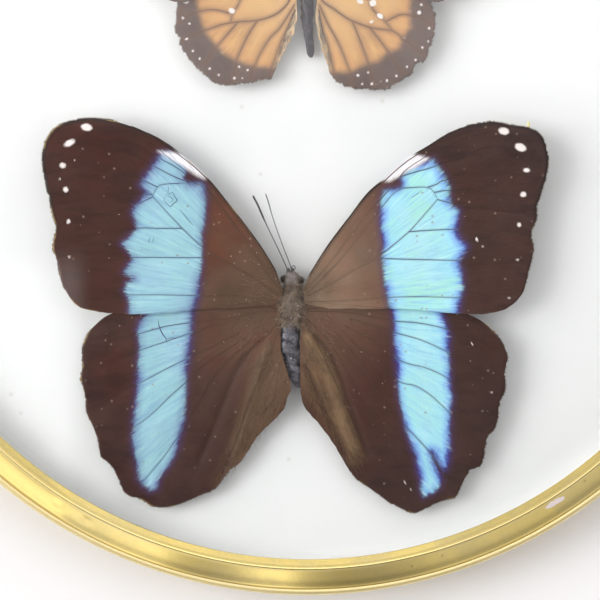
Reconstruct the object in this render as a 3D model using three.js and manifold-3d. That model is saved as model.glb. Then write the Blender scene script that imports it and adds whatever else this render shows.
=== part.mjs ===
// A round brass display frame with domed glass. Two spread butterflies are glued to the white card
// inside it: a large one with a blue band across its wings below, and an orange one above.
// Millimetres. The frame lies on its back: +Z points out through the glass, +Y to the butterflies'
// heads, and the origin is the middle of the frame on the surface that it rests on.
import * as THREE from "three";
import { mergeVertices } from "three/addons/utils/BufferGeometryUtils.js";
import Module from "manifold-3d";

const wasm = await Module();
wasm.setup();

// Driving dimensions.
const rimRadius = 102; // outside of the rim's bead
const lipRadius = 94; // the white that shows inside the rim
const ridgeHeight = 15.6; // top of the brass
const domeRise = 16; // how far the glass bulges above its own edge
const glassThickness = 2;
const gap = 0.3; // clearance between pieces that touch
const roundSteps = 64;

// Heights of the layers, from the back board up.
const boardBottom = 3.2;
const boardTop = boardBottom + 2;
const cardBottom = boardTop + gap;
const cardTop = cardBottom + 1.2;
const spacerBottom = cardTop + gap;
const spacerTop = spacerBottom + 3.3;
const glassBottom = spacerTop + gap;
const glassTop = glassBottom + glassThickness;

// Radii of what the wall holds.
const wallOutside = rimRadius - 1.4;
const wallInside = wallOutside - 1;
const boardRadius = wallInside - 0.4;
const spacerInside = lipRadius + 1.5;
const glassRadius = wallInside - 1.6;
const domeEdge = lipRadius + 1.3; // where the inside of the dome meets the flat edge of the glass

const colours = {
  brass: { color: 0xc9a545, roughness: 0.28, metalness: 1 },
  glass: { color: 0xeef4f2, roughness: 0.02, metalness: 0, transparent: true, opacity: 0.2 },
  card: { color: 0xf2f4f4, roughness: 0.9, metalness: 0 },
  board: { color: 0x9b7a53, roughness: 0.95, metalness: 0 },
  steel: { color: 0xb9b4a6, roughness: 0.4, metalness: 1 },
  blueForewing: { color: 0x4a2e26, roughness: 0.7, metalness: 0 },
  blueHindwing: { color: 0x51342a, roughness: 0.7, metalness: 0 },
  blueBody: { color: 0x4b453f, roughness: 0.8, metalness: 0 },
  orangeForewing: { color: 0xb5713a, roughness: 0.75, metalness: 0 },
  orangeHindwing: { color: 0xc98a4b, roughness: 0.75, metalness: 0 },
  orangeBody: { color: 0x3a3130, roughness: 0.8, metalness: 0 },
};

const part = new THREE.Group();

function add(name, geometry, colour) {
  const mesh = new THREE.Mesh(geometry, new THREE.MeshStandardMaterial(colours[colour]));
  mesh.name = name;
  part.add(mesh);
  return mesh;
}

// A profile of [radius, height] points turned round the Z axis.
function turned(profile) {
  const points = profile.map(([radius, height]) => new THREE.Vector2(radius, height));
  return new THREE.LatheGeometry(points, roundSteps).rotateX(Math.PI / 2);
}

// A closed ring, whose profile comes back to its first point.
const turnedRing = (profile) => turned([...profile, profile[0]]);

function solidFrom(geometry) {
  const bare = geometry.clone();
  bare.deleteAttribute("normal");
  bare.deleteAttribute("uv");
  const merged = mergeVertices(bare, 1e-4);
  const vertProperties = merged.attributes.position.array;
  const triVerts = new Uint32Array(merged.index.array);
  return new wasm.Manifold(new wasm.Mesh({ numProp: 3, vertProperties, triVerts }));
}

function geometryFrom(solid) {
  const mesh = solid.getMesh();
  const geometry = new THREE.BufferGeometry();
  geometry.setAttribute("position", new THREE.BufferAttribute(mesh.vertProperties, 3));
  geometry.setIndex(new THREE.BufferAttribute(mesh.triVerts, 1));
  geometry.computeVertexNormals();
  return geometry;
}

// Joined or cut geometries.
const joined = (first, ...others) =>
  geometryFrom(others.reduce((sum, other) => sum.add(solidFrom(other)), solidFrom(first)));
const cut = (first, ...others) =>
  geometryFrom(others.reduce((rest, other) => rest.subtract(solidFrom(other)), solidFrom(first)));

// A box by its low and high corners.
function box(low, high) {
  const size = high.map((value, axis) => value - low[axis]);
  const middle = high.map((value, axis) => (value + low[axis]) / 2);
  return new THREE.BoxGeometry(...size).translate(...middle);
}

// An upright round bar.
function bar(radius, bottom, top, x, y) {
  const sides = 12;
  return new THREE.CylinderGeometry(radius, radius, top - bottom, sides)
    .rotateX(Math.PI / 2)
    .translate(x, y, (top + bottom) / 2);
}

// The stamped brass rim: hem, wall, outer bead, groove, sloping band, ridge, and the lip that rolls
// down to the glass. Tabs pressed in from the wall hold the back board.
function makeRim() {
  const lipClearance = 0.8; // the dome already rises a little under the lip
  const lipUnderside = glassTop + lipClearance;
  const profile = [
    [wallInside - 1, 0],
    [wallOutside - 0.4, 0],
    [wallOutside, 0.4],
    [wallOutside, 11.3],
    [rimRadius - 0.4, 11.95],
    [rimRadius, 12.5],
    [rimRadius - 0.2, 13.1],
    [rimRadius - 0.7, 13.35],
    [rimRadius - 1.3, 13.1],
    [rimRadius - 1.5, 13.5],
    [rimRadius - 1.9, 13.85],
    [lipRadius + 2.5, ridgeHeight - 0.3],
    [lipRadius + 1.9, ridgeHeight],
    [lipRadius + 1.5, ridgeHeight - 0.2],
    [lipRadius + 0.4, ridgeHeight - 1.5],
    [lipRadius, lipUnderside + 0.3],
    [lipRadius + 0.3, lipUnderside],
    [wallInside - 1.6, lipUnderside],
    [wallInside - 0.4, 12],
    [wallInside, 11.4],
    [wallInside, 1.2],
    [wallInside - 1, 1],
  ];
  const tabCount = 8;
  const tabLength = 5;
  const tabWidth = 7;
  const tabTop = boardBottom - gap;
  const tabs = [];
  for (let i = 0; i < tabCount; i++) {
    const tab = box(
      [wallInside - tabLength, -tabWidth / 2, tabTop - 0.6],
      [wallInside + 0.3, tabWidth / 2, tabTop],
    );
    tabs.push(tab.rotateZ(((i + 0.5) * 2 * Math.PI) / tabCount));
  }
  add("rim", joined(turnedRing(profile), ...tabs), "brass");
}

// The domed glass: two arcs of the same centre over a flat edge, which the lip covers.
function makeGlass() {
  const insideRadius = (domeEdge ** 2 + domeRise ** 2) / (2 * domeRise);
  const centreHeight = glassBottom + domeRise - insideRadius;
  const arc = (radius, height) => {
    const steps = 6;
    const widest = Math.acos((height - centreHeight) / radius);
    const points = [];
    for (let i = 0; i <= steps; i++) {
      const angle = (widest * i) / steps;
      points.push([radius * Math.sin(angle), centreHeight + radius * Math.cos(angle)]);
    }
    return points;
  };
  const outside = arc(insideRadius + glassThickness, glassTop);
  const inside = arc(insideRadius, glassBottom);
  const edge = [
    [glassRadius, glassTop],
    [glassRadius, glassBottom],
  ];
  add("domed_glass", turned([...outside, ...edge, ...inside.reverse()].reverse()), "glass");
}

function disc(radius, bottom, top) {
  return turned([
    [0, bottom],
    [radius, bottom],
    [radius, top],
    [0, top],
  ]);
}

function makeCards() {
  add("mount_card", disc(boardRadius, cardBottom, cardTop), "card");
  const spacer = [
    [spacerInside, spacerBottom],
    [boardRadius, spacerBottom],
    [boardRadius, spacerTop],
    [spacerInside, spacerTop],
  ];
  add("spacer_ring", turnedRing(spacer), "card");
}

// The back board, and the saw-tooth hanger that two nails hold to it near the top. The hanger's
// middle stands off the board, so that a hook can go behind its lower edge, between two teeth.
function makeBack() {
  const hangerAt = 76;
  const sheet = 0.6;
  const halfLength = 17;
  const halfWidth = 3.5;
  const footLength = 6;
  const standOff = 1.3;
  const teeth = 9;
  const toothDepth = 1.4;
  const footTop = boardBottom - gap;
  const footBottom = footTop - sheet;
  const bridgeBottom = footBottom - standOff;

  const strip = new THREE.Shape();
  strip.moveTo(halfLength, hangerAt + halfWidth);
  strip.lineTo(-halfLength, hangerAt + halfWidth);
  strip.lineTo(-halfLength, hangerAt - halfWidth);
  for (let i = 0; i < teeth; i++) {
    const pitch = (2 * halfLength - 4) / teeth;
    const left = -halfLength + 2 + i * pitch;
    strip.lineTo(left, hangerAt - halfWidth);
    strip.lineTo(left + pitch / 2, hangerAt - halfWidth + toothDepth);
  }
  strip.lineTo(halfLength - 2, hangerAt - halfWidth);
  strip.lineTo(halfLength, hangerAt - halfWidth);
  const bridge = new THREE.ExtrudeGeometry(strip, { depth: sheet, bevelEnabled: false });
  const pieces = [bridge.translate(0, 0, bridgeBottom)];
  const nailHoles = [];
  for (const side of [-1, 1]) {
    const bend = [side * (halfLength - sheet), side * halfLength].sort((a, b) => a - b);
    const foot = [side * (halfLength - sheet), side * (halfLength + footLength)].sort((a, b) => a - b);
    const low = hangerAt - halfWidth;
    const high = hangerAt + halfWidth;
    pieces.push(box([bend[0], low, bridgeBottom], [bend[1], high, footTop]));
    pieces.push(box([foot[0], low, footBottom], [foot[1], high, footTop]));

    const nailAt = side * (halfLength + footLength / 2);
    const shank = 0.6;
    const head = 1.5;
    const tip = boardBottom + 1.2;
    nailHoles.push(bar(shank + gap, footBottom - 1, tip + gap, nailAt, hangerAt));
    const nail = joined(
      bar(shank, footBottom - gap - 0.2, tip, nailAt, hangerAt),
      bar(head, footBottom - gap - 0.6, footBottom - gap, nailAt, hangerAt),
    );
    add(side < 0 ? "hanger_nail_left" : "hanger_nail_right", nail, "steel");
  }
  add("saw_tooth_hanger", cut(joined(...pieces), ...nailHoles), "steel");
  add("back_board", cut(disc(boardRadius, boardBottom, boardTop), ...nailHoles), "board");
}

// A wing is a thin plate. Its outline is a list of [across, along] points from the middle of the
// thorax, across away from the body and along towards the head, and height gives the plate's middle
// at such a point. Side is 1 for the right wing and -1 for the left one.
function wingPlate(outline, height, centre, side) {
  const thickness = 0.4;
  const rings = [0.55, 1];
  const count = outline.length;
  const middle = [0, 1].map((axis) => outline.reduce((sum, p) => sum + p[axis], 0) / count);
  const plan = [middle];
  for (const ring of rings)
    for (const point of outline)
      plan.push(point.map((value, axis) => middle[axis] + ring * (value - middle[axis])));

  const positions = [];
  for (const face of [thickness / 2, -thickness / 2])
    for (const [across, along] of plan)
      positions.push(centre[0] + side * across, centre[1] + along, height(across, along) + face);

  const faces = [];
  const under = plan.length;
  const both = (a, b, c) => faces.push([a, b, c], [under + a, under + c, under + b]);
  for (let i = 0; i < count; i++) {
    const next = (i + 1) % count;
    both(0, 1 + next, 1 + i);
    for (let ring = 1; ring < rings.length; ring++) {
      const inner = 1 + (ring - 1) * count;
      const outer = inner + count;
      both(inner + i, inner + next, outer + next);
      both(inner + i, outer + next, outer + i);
    }
    const rim = 1 + (rings.length - 1) * count;
    faces.push([rim + i, rim + next, under + rim + next]);
    faces.push([rim + i, under + rim + next, under + rim + i]);
  }
  const geometry = new THREE.BufferGeometry();
  geometry.setAttribute("position", new THREE.Float32BufferAttribute(positions, 3));
  geometry.setIndex(faces.flatMap(([a, b, c]) => (side > 0 ? [a, b, c] : [a, c, b])));
  geometry.computeVertexNormals();
  return geometry;
}

// A body or an antenna is a run of ovals square to the Y axis, each given as
// [along, across, height, half width, half height] from the middle of the thorax.
function ovalRun(sections, centre, sides) {
  const positions = [];
  for (const [along, across, height, halfWidth, halfHeight] of sections)
    for (let i = 0; i < sides; i++) {
      const angle = (2 * Math.PI * i) / sides;
      positions.push(
        centre[0] + across + halfWidth * Math.cos(angle),
        centre[1] + along,
        height + halfHeight * Math.sin(angle),
      );
    }
  const faces = [];
  const last = sections.length - 1;
  for (let row = 0; row < last; row++)
    for (let i = 0; i < sides; i++) {
      const next = (i + 1) % sides;
      const here = row * sides;
      const there = here + sides;
      faces.push(here + i, there + next, here + next, here + i, there + i, there + next);
    }
  for (let i = 1; i < sides - 1; i++) {
    faces.push(0, i, i + 1);
    faces.push(last * sides, last * sides + i + 1, last * sides + i);
  }
  const geometry = new THREE.BufferGeometry();
  geometry.setAttribute("position", new THREE.Float32BufferAttribute(positions, 3));
  geometry.setIndex(faces);
  geometry.computeVertexNormals();
  return geometry;
}

// A small ball of few faces, for an eye.
const ball = (radius, x, y, z) => new THREE.SphereGeometry(radius, 8, 6).translate(x, y, z);

// The wings rise a little towards their tips, and the hind wings droop to the rear.
function wingHeights({ hinge, span, rise, drop, droop, reach }) {
  const lift = (across) => rise * (across / span) ** 2;
  const sag = (along) => droop * Math.min(1, Math.max(0, -along) / reach) ** 1.5;
  return {
    forewing: (across) => hinge + lift(across),
    hindwing: (across, along) => hinge - drop + 0.8 * lift(across) - sag(along),
  };
}

// The large butterfly with the blue band.
const blue = {
  centre: [-3.3, -38.2],
  heights: { hinge: cardTop + 5.6, span: 52, rise: 1.2, drop: 0.75, droop: 1.9, reach: 46 },
  leftForewing: [
    [1.9, 2.1], [3.4, 6.6], [6.4, 11.5], [9.8, 16.2], [13.6, 21.1], [17.4, 25.7], [22.2, 30.2],
    [26.9, 33.8], [32.1, 36.3], [37.4, 38], [41.6, 38.6], [45.2, 38.2], [48.6, 37.3], [51, 35.2],
    [52, 32.7], [52.4, 29.8], [51.9, 25.5], [50.9, 21.3], [50.5, 18.5], [49.7, 15.8], [50.4, 11.5],
    [49.4, 8.1], [48.8, 4.7], [47.3, 1.3], [45.2, -1.1], [41.4, -2.2], [35, -2.8], [27.1, -2.6],
    [19.6, -1.9], [11.1, -1.5], [3.6, -0.9], [2, 0],
  ],
  rightForewing: [
    [2.3, 2.1], [3.8, 5.8], [6, 9.4], [8.7, 13.4], [12.3, 18.1], [15.9, 22.8], [19.5, 26],
    [23.9, 29.9], [28.8, 32.9], [33.4, 35.7], [37.6, 37.2], [42.3, 37.8], [46.5, 37.1], [50.5, 36.3],
    [52.6, 34.6], [53.7, 31.4], [53.8, 28.5], [52.8, 23.8], [51.7, 20.5], [51.6, 17.5], [50.5, 14.7],
    [51, 10.7], [50, 6.4], [49, 2.2], [46.6, -0.8], [43.5, -2.3], [37.9, -2.8], [31.5, -2.3],
    [24.1, -1.7], [16.6, -1.7], [8.1, -1.7], [2.8, -0.6],
  ],
  leftHindwing: [
    [3.1, -1.9], [6.4, 0], [15.3, 1.1], [24.9, 0.8], [32.4, -0.7], [38.8, -3], [42.2, -5.6],
    [44, -8.2], [44.6, -10.7], [44.5, -13.8], [45, -16.8], [44.1, -20], [43.8, -24.3], [42.5, -26.9],
    [41.4, -30.2], [41, -33.2], [38.7, -35.8], [37.2, -38.6], [35.7, -41.7], [32.5, -43],
    [29.9, -44.7], [26.3, -44.7], [22, -43.2], [19.2, -41.9], [16.3, -40.4], [13.5, -36.9],
    [10.5, -34.3], [7.5, -29.5], [4.7, -26.2], [2.6, -22.1], [2, -18.5], [3.1, -12.9], [3.2, -6.4],
  ],
  rightHindwing: [
    [3.1, -1.9], [7, -0.2], [15.5, 0.6], [24.1, 0.4], [31.5, -0.8], [37.9, -3], [41.6, -5.3],
    [44.2, -8.1], [45.9, -11.8], [45.3, -15.2], [45.5, -18.7], [44.3, -22.1], [43.7, -26.7],
    [41.8, -29.5], [41.2, -32.7], [40.5, -35.5], [38.2, -36.6], [36.7, -39.2], [35, -42.5],
    [31.8, -43.4], [28.6, -45.1], [25.8, -46], [22.8, -44.7], [20, -43], [17, -40.8], [14.2, -38.8],
    [11.8, -35.8], [8.6, -30.4], [5.8, -26.2], [3.6, -23.2], [2.6, -19.5], [2.6, -16.1], [2.5, -9.6],
    [2.7, -5.4],
  ],
  body: [
    [-19, 1.4, 8.6, 0.4, 0.5], [-18, 1.1, 8.7, 1, 1.1], [-15.8, 0.5, 8.9, 1.6, 1.6],
    [-13.3, 0, 9.1, 2, 1.9], [-10.8, -0.4, 9.3, 2.2, 2.1], [-8.4, -0.5, 9.4, 2.1, 2.2],
    [-6.2, -0.5, 9.6, 1.9, 2.1], [-4.8, -0.3, 9.8, 2, 2.5], [-2.8, 0, 9.9, 2.4, 2.8],
    [-0.4, 0, 10, 2.5, 2.9], [1.6, 0, 10, 2.2, 2.7], [2.9, 0, 9.9, 1.6, 2], [3.5, 0, 9.9, 1.75, 1.6],
    [4.6, 0, 9.9, 1.8, 1.5], [5.6, 0, 9.8, 1.2, 1.2], [6.3, -0.1, 9.7, 0.5, 0.6],
  ],
  eyes: [[-1.85, 4.35, 10], [1.95, 4.2, 10]],
  eyeRadius: 0.85,
  antennae: {
    left: [
      [6.9, -1.1, 10.6, 0.2, 0.2], [11, -2.9, 11.6, 0.2, 0.2], [16.3, -5.4, 12.6, 0.2, 0.2],
      [20, -7, 13, 0.3, 0.3], [21.6, -7.8, 13.1, 0.3, 0.3], [22.2, -8.1, 13.2, 0.15, 0.15],
    ],
    right: [
      [7, -0.2, 10.7, 0.2, 0.2], [11.9, -2, 11.9, 0.2, 0.2], [17.4, -3.9, 12.9, 0.2, 0.2],
      [20.6, -4.8, 13.4, 0.25, 0.25], [22.2, -5.3, 13.5, 0.25, 0.25], [22.8, -5.5, 13.6, 0.15, 0.15],
    ],
  },
};

// The orange butterfly. Its left and right forewings are the same shape.
const orangeForewing = [
  [2.2, 2.6], [4.6, 7.6], [9.2, 14], [15, 19.2], [22, 23], [28.6, 25.2], [34, 25.6], [38.2, 24.2],
  [40.4, 21.4], [40.6, 17.8], [39.2, 13.4], [37.6, 9], [36, 4.4], [34, -0.2], [32, -4.6],
  [30, -8.2], [27.6, -9.9], [23.6, -9.2], [17.4, -6.4], [10.6, -3.8], [5.2, -1.9], [2.5, -0.9],
];
const orange = {
  centre: [-0.1, 34.5],
  heights: { hinge: cardTop + 5, span: 41, rise: 1.6, drop: 0.75, droop: 1, reach: 28 },
  leftForewing: orangeForewing,
  rightForewing: orangeForewing,
  leftHindwing: [
    [2.6, -2.4], [5.7, -1.4], [13, -2.3], [20.4, -4.4], [25.8, -7.7], [27.1, -10.2], [27.4, -13.1],
    [27.7, -15.2], [26.7, -17.7], [26.1, -19.8], [24.2, -21.9], [22.8, -24], [20.7, -25.4],
    [19, -26.9], [16.2, -27], [13.1, -26.6], [9.5, -26.1], [7.4, -25.4], [6.3, -23.1], [4.6, -19.8],
    [2.9, -16.2], [2.1, -12.7], [2.2, -8.3], [2.5, -4.8],
  ],
  rightHindwing: [
    [2.6, -2.4], [5.9, -1.5], [13.2, -2.3], [19.9, -4.4], [25, -8.1], [26.3, -11], [26.9, -13.1],
    [26.7, -16], [25.9, -18.5], [25.1, -21.4], [22.8, -23.1], [21.1, -25.4], [18.4, -26.9],
    [16.7, -28.1], [12.9, -27.9], [9.1, -27.5], [6.5, -26.3], [5.1, -24.8], [4.2, -22.3],
    [3, -19.1], [2.2, -15.6], [2.1, -11.8], [2.2, -8.3], [2.5, -4.8],
  ],
  body: [
    [-21.3, 0.9, 8.3, 0.3, 0.4], [-20.2, 0.8, 8.4, 0.75, 0.8], [-17.9, 0.5, 8.6, 0.95, 1.1],
    [-13.7, 0.1, 8.8, 1.15, 1.3], [-9.5, 0, 9, 1.4, 1.5], [-6, 0, 9.1, 1.4, 1.6], [-4.6, 0, 9.2, 1.5, 1.9],
    [-2.6, 0, 9.3, 1.9, 2.2], [0, 0, 9.3, 2, 2.2], [2.6, 0, 9.3, 1.7, 2], [4.2, 0, 9.2, 1.2, 1.4],
    [5.6, 0, 9.2, 1.2, 1.2], [6.6, 0, 9.1, 0.8, 0.8], [7.1, 0, 9.1, 0.4, 0.4],
  ],
  eyes: [[-1, 5.3, 9.3], [1, 5.3, 9.3]],
  eyeRadius: 0.7,
  antennae: {
    left: [
      [7.6, -0.6, 9.7, 0.2, 0.2], [11.4, -2.4, 10.8, 0.2, 0.2], [15.4, -4.3, 11.6, 0.2, 0.2],
      [18.2, -5.5, 12, 0.3, 0.3], [19.4, -5.9, 12.1, 0.35, 0.35], [20, -6.1, 12.2, 0.15, 0.15],
    ],
    right: [
      [7.6, 0.6, 9.7, 0.2, 0.2], [11.4, 2.3, 10.8, 0.2, 0.2], [15.5, 4, 11.6, 0.2, 0.2],
      [18.4, 5, 12, 0.3, 0.3], [19.6, 5.4, 12.1, 0.35, 0.35], [20.2, 5.5, 12.2, 0.15, 0.15],
    ],
  },
};

function makeButterfly(name, insect) {
  const heights = wingHeights(insect.heights);
  const wing = (label, side, kind) =>
    add(
      `${name}_${label}_${kind.toLowerCase()}`,
      wingPlate(insect[label + kind], heights[kind.toLowerCase()], insect.centre, side),
      name + kind,
    );
  for (const [label, side] of [["left", -1], ["right", 1]])
    for (const kind of ["Forewing", "Hindwing"]) wing(label, side, kind);

  const bodySides = 12;
  const eyes = insect.eyes.map(([across, along, height]) =>
    ball(insect.eyeRadius, insect.centre[0] + across, insect.centre[1] + along, height),
  );
  const trunk = ovalRun(insect.body, insect.centre, bodySides);
  add(`${name}_body`, joined(trunk, ...eyes), name + "Body");
  for (const [label, sections] of Object.entries(insect.antennae))
    add(`${name}_${label}_antenna`, ovalRun(sections, insect.centre, 6), name + "Body");
}

makeRim();
makeGlass();
makeCards();
makeBack();
makeButterfly("blue", blue);
makeButterfly("orange", orange);

export default part;
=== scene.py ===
import math

import bpy
import numpy as np
from mathutils import Matrix, Vector


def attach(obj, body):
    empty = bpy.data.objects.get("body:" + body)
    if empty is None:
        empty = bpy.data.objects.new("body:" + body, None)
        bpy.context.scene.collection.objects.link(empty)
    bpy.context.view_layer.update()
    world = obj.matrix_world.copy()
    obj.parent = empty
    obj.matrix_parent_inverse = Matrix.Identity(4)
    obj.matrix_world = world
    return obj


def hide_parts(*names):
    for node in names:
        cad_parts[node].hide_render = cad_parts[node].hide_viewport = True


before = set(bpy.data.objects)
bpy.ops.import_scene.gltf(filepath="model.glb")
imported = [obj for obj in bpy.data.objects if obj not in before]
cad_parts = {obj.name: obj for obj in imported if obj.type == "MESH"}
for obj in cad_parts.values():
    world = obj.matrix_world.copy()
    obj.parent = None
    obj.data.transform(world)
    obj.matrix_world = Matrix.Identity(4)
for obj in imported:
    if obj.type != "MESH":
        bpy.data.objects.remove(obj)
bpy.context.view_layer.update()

mm = 0.001  # the builders below work in millimetres, and makeObject turns them into metres
print("frame loaded:", len(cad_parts), "nodes")


# Curves and meshes

def smoothLine(points, count):
    # a curve through the points, each stretch a cubic whose end slopes are half the step between
    # the neighbours on either side, read off again at even steps along its length
    p = np.array(points, float)
    padded = np.vstack([2 * p[0] - p[1], p, 2 * p[-1] - p[-2]])
    slope = (padded[2:] - padded[:-2]) / 2
    t = np.linspace(0, 1, 24, endpoint=False)[None, :, None]
    a, b, sa, sb = p[:-1, None], p[1:, None], slope[:-1, None], slope[1:, None]
    fine = ((2 * t**3 - 3 * t**2 + 1) * a + (t**3 - 2 * t**2 + t) * sa
            + (3 * t**2 - 2 * t**3) * b + (t**3 - t**2) * sb)
    fine = np.vstack([fine.reshape(-1, p.shape[1]), p[-1]])
    length = np.r_[0, np.cumsum(np.linalg.norm(np.diff(fine, axis=0), axis=1))]
    even = np.linspace(0, length[-1], count)
    return np.stack([np.interp(even, length, column) for column in fine.T], -1)


def roundedCorners(points, passes):
    # cuts every corner of a closed outline at a quarter and three quarters of its sides
    p = np.array(points, float)
    for _ in range(passes):
        following = np.roll(p, -1, axis=0)
        p = np.stack([0.75 * p + 0.25 * following, 0.25 * p + 0.75 * following], 1).reshape(-1, p.shape[1])
    return p


def gridFaces(rows, columns, wrapRows=False, wrapColumns=False):
    # the four corners of each cell of a grid whose points are numbered row by row
    r, c = np.meshgrid(np.arange(rows if wrapRows else rows - 1),
                       np.arange(columns if wrapColumns else columns - 1), indexing="ij")
    r, c = r.ravel(), c.ravel()
    r2, c2 = (r + 1) % rows, (c + 1) % columns
    return np.stack([r * columns + c, r * columns + c2, r2 * columns + c2, r2 * columns + c], -1)


def makeObject(name, points, faces, material, smooth=True):
    # points in millimetres and faces by point number, as a mesh in metres that rides on the frame
    mesh = bpy.data.meshes.new(name)
    mesh.from_pydata((np.asarray(points) * mm).tolist(), [], [list(map(int, f)) for f in faces])
    mesh.polygons.foreach_set("use_smooth", [smooth] * len(mesh.polygons))
    mesh.materials.append(material)
    mesh.update()
    made = bpy.data.objects.new(name, mesh)
    bpy.context.scene.collection.objects.link(made)
    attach(made, "root")
    return made


def addAttribute(piece, name, values):
    # one number or one vector for each point
    values = np.asarray(values, np.float32)
    kind, key = ("FLOAT_VECTOR", "vector") if values.ndim == 2 else ("FLOAT", "value")
    layer = piece.data.attributes.new(name, kind, "POINT")
    layer.data.foreach_set(key, values.ravel())


def turned(profile, steps):
    # a closed [radius, height] outline carried once round the Z axis: x = r cos, y = r sin
    r, z = np.array(profile, float).T
    angle = np.linspace(0, 2 * np.pi, steps, endpoint=False)[:, None]
    points = np.stack([r * np.cos(angle), r * np.sin(angle), z + 0 * angle], -1)
    return points, gridFaces(steps, len(r), True, True)[:, ::-1]


def barsAlong(paths, widths, heights, sides):
    # bars along paths [bar, ring, xyz]: each ring is an ellipse square to its path, with the half
    # widths and half heights given for [bar, ring]
    tangent = np.gradient(paths, axis=1)
    tangent /= np.linalg.norm(tangent, axis=2, keepdims=True) + 1e-12
    sideways = np.cross(tangent, [0.0, 0.0, 1.0])
    sideways /= np.linalg.norm(sideways, axis=2, keepdims=True) + 1e-9
    upright = np.cross(tangent, sideways)
    angle = np.linspace(0, 2 * np.pi, sides, endpoint=False)[:, None]
    points = (paths[:, :, None] + widths[:, :, None, None] * np.cos(angle) * sideways[:, :, None]
              + heights[:, :, None, None] * np.sin(angle) * upright[:, :, None])
    bars, rings = paths.shape[:2]
    start = (np.arange(bars) * rings * sides)[:, None, None]
    wall = (gridFaces(rings, sides, wrapColumns=True)[None] + start).reshape(-1, 4)
    turn = np.arange(sides)
    caps = (np.stack([turn[::-1], turn + (rings - 1) * sides])[None] + start).reshape(-1, sides)
    return points.reshape(-1, 3), [*wall, *caps]


def ball(centre, radii, steps=24):
    # an ellipsoid: radii x (cos lat cos lon, cos lat sin lon, sin lat), with its two last small
    # rings closed by a flat face each
    last = np.pi / 2 - 0.06
    lat = np.linspace(-last, last, steps // 2)[:, None]
    lon = np.linspace(0, 2 * np.pi, steps, endpoint=False)
    unit = np.stack([np.cos(lat) * np.cos(lon), np.cos(lat) * np.sin(lon), np.sin(lat) + 0 * lon], -1)
    rows = steps // 2
    ends = [np.arange(steps)[::-1], np.arange(steps) + (rows - 1) * steps]
    points = (unit * radii + centre).reshape(-1, 3)
    return points, [*gridFaces(rows, steps, wrapColumns=True), *ends]


def joinShapes(shapes):
    # several (points, faces) as one: each one's numbers are raised by the points before it
    points, faces, count = [], [], 0
    for p, f in shapes:
        points.append(p)
        faces += [np.asarray(face) + count for face in f]
        count += len(p)
    return np.vstack(points), faces


def lineDistance(xy, lines):
    # the distance from each point to the nearest stretch of any of the lines
    nearest = np.full(len(xy), 1e9)
    for line in lines:
        line = np.asarray(line, float)
        for a, b in zip(line[:-1], line[1:]):
            d = b - a
            t = np.clip(((xy - a) @ d) / (d @ d + 1e-12), 0, 1)
            nearest = np.minimum(nearest, np.linalg.norm(xy - a - t[:, None] * d, axis=1))
    return nearest


def insideDistance(xy, outline):
    # the distance to a closed outline, positive for points with an odd number of its sides to
    # their right, which are the ones inside, and negative for the others
    p = np.vstack([outline, outline[:1]])
    odd = np.zeros(len(xy), bool)
    for a, b in zip(p[:-1], p[1:]):
        crosses = (a[1] > xy[:, 1]) != (b[1] > xy[:, 1])
        where = a[0] + (xy[:, 1] - a[1]) * (b[0] - a[0]) / (b[1] - a[1] + 1e-12)
        odd ^= crosses & (xy[:, 0] < where)
    return lineDistance(xy, [p]) * np.where(odd, 1, -1)


def ripple(xy, size, seed):
    # a smooth random height in about -1 to 1: five sine waves of nearby lengths and any direction
    rng = np.random.default_rng(seed)
    total = 0
    for _ in range(5):
        heading, phase = rng.uniform(0, 2 * np.pi, 2)
        wave = size * rng.uniform(0.7, 1.6)
        total = total + np.sin((xy @ [math.cos(heading), math.sin(heading)]) * 2 * np.pi / wave + phase)
    return total / 2.5


# Node building

def setInputs(tree, node, values):
    # another node's socket is linked, and anything else is set as a constant
    for key, value in values.items():
        if isinstance(value, bpy.types.NodeSocket):
            tree.links.new(value, node.inputs[key])
        else:
            node.inputs[key].default_value = value


def place(tree, kind, inputs=None, **settings):
    # a new node with its settings and its inputs
    made = tree.nodes.new(kind)
    for key, value in settings.items():
        setattr(made, key, value)
    setInputs(tree, made, inputs or {})
    return made


def maths(tree, operation, a, b=0.0, c=0.0):
    # one operation on up to three numbers
    return place(tree, "ShaderNodeMath", {0: a, 1: b, 2: c}, operation=operation).outputs[0]


def times(tree, a, b):
    return maths(tree, "MULTIPLY", a, b)


def addTimes(tree, a, b, c):
    # c + a x b
    return maths(tree, "MULTIPLY_ADD", a, b, c)


def swing(tree, value, amount, base):
    # base + amount x (value - 0.5), for noise, which lies round a half
    return addTimes(tree, maths(tree, "SUBTRACT", value, 0.5), amount, base)


def colourMix(tree, factor, a, b, blend="MIX"):
    # a + factor x (b - a), or for MULTIPLY a x (1 + factor x (b - 1))
    def full(value):
        return (*value, 1) if isinstance(value, tuple) and len(value) == 3 else value
    return place(tree, "ShaderNodeMix", {0: factor, 6: full(a), 7: full(b)}, data_type="RGBA",
                 blend_type=blend).outputs[2]


def band(tree, value, low, high, top=1.0):
    # 0 below low, rising smoothly to top above high
    made = place(tree, "ShaderNodeMapRange", {0: value, 1: low, 2: high, 3: 0.0, 4: top},
                 interpolation_type="SMOOTHSTEP")
    return made.outputs[0]


def ramp(tree, factor, stops):
    # the colour at a place between 0 and 1 on a row of (place, colour) stops
    made = place(tree, "ShaderNodeValToRGB", {0: factor})
    elements = made.color_ramp.elements
    while len(elements) < len(stops):
        elements.new(0.5)
    for element, (position, colour) in zip(elements, stops):
        element.position = position
        element.color = (*colour, 1)
    return made.outputs[0]


def noise(tree, vector, scale, detail=2.0, roughness=0.5):
    # smooth random values round 0.5, with about scale lumps to a unit of length
    made = place(tree, "ShaderNodeTexNoise",
                 {"Vector": vector, "Scale": scale, "Detail": detail, "Roughness": roughness})
    return made.outputs[0]


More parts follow.
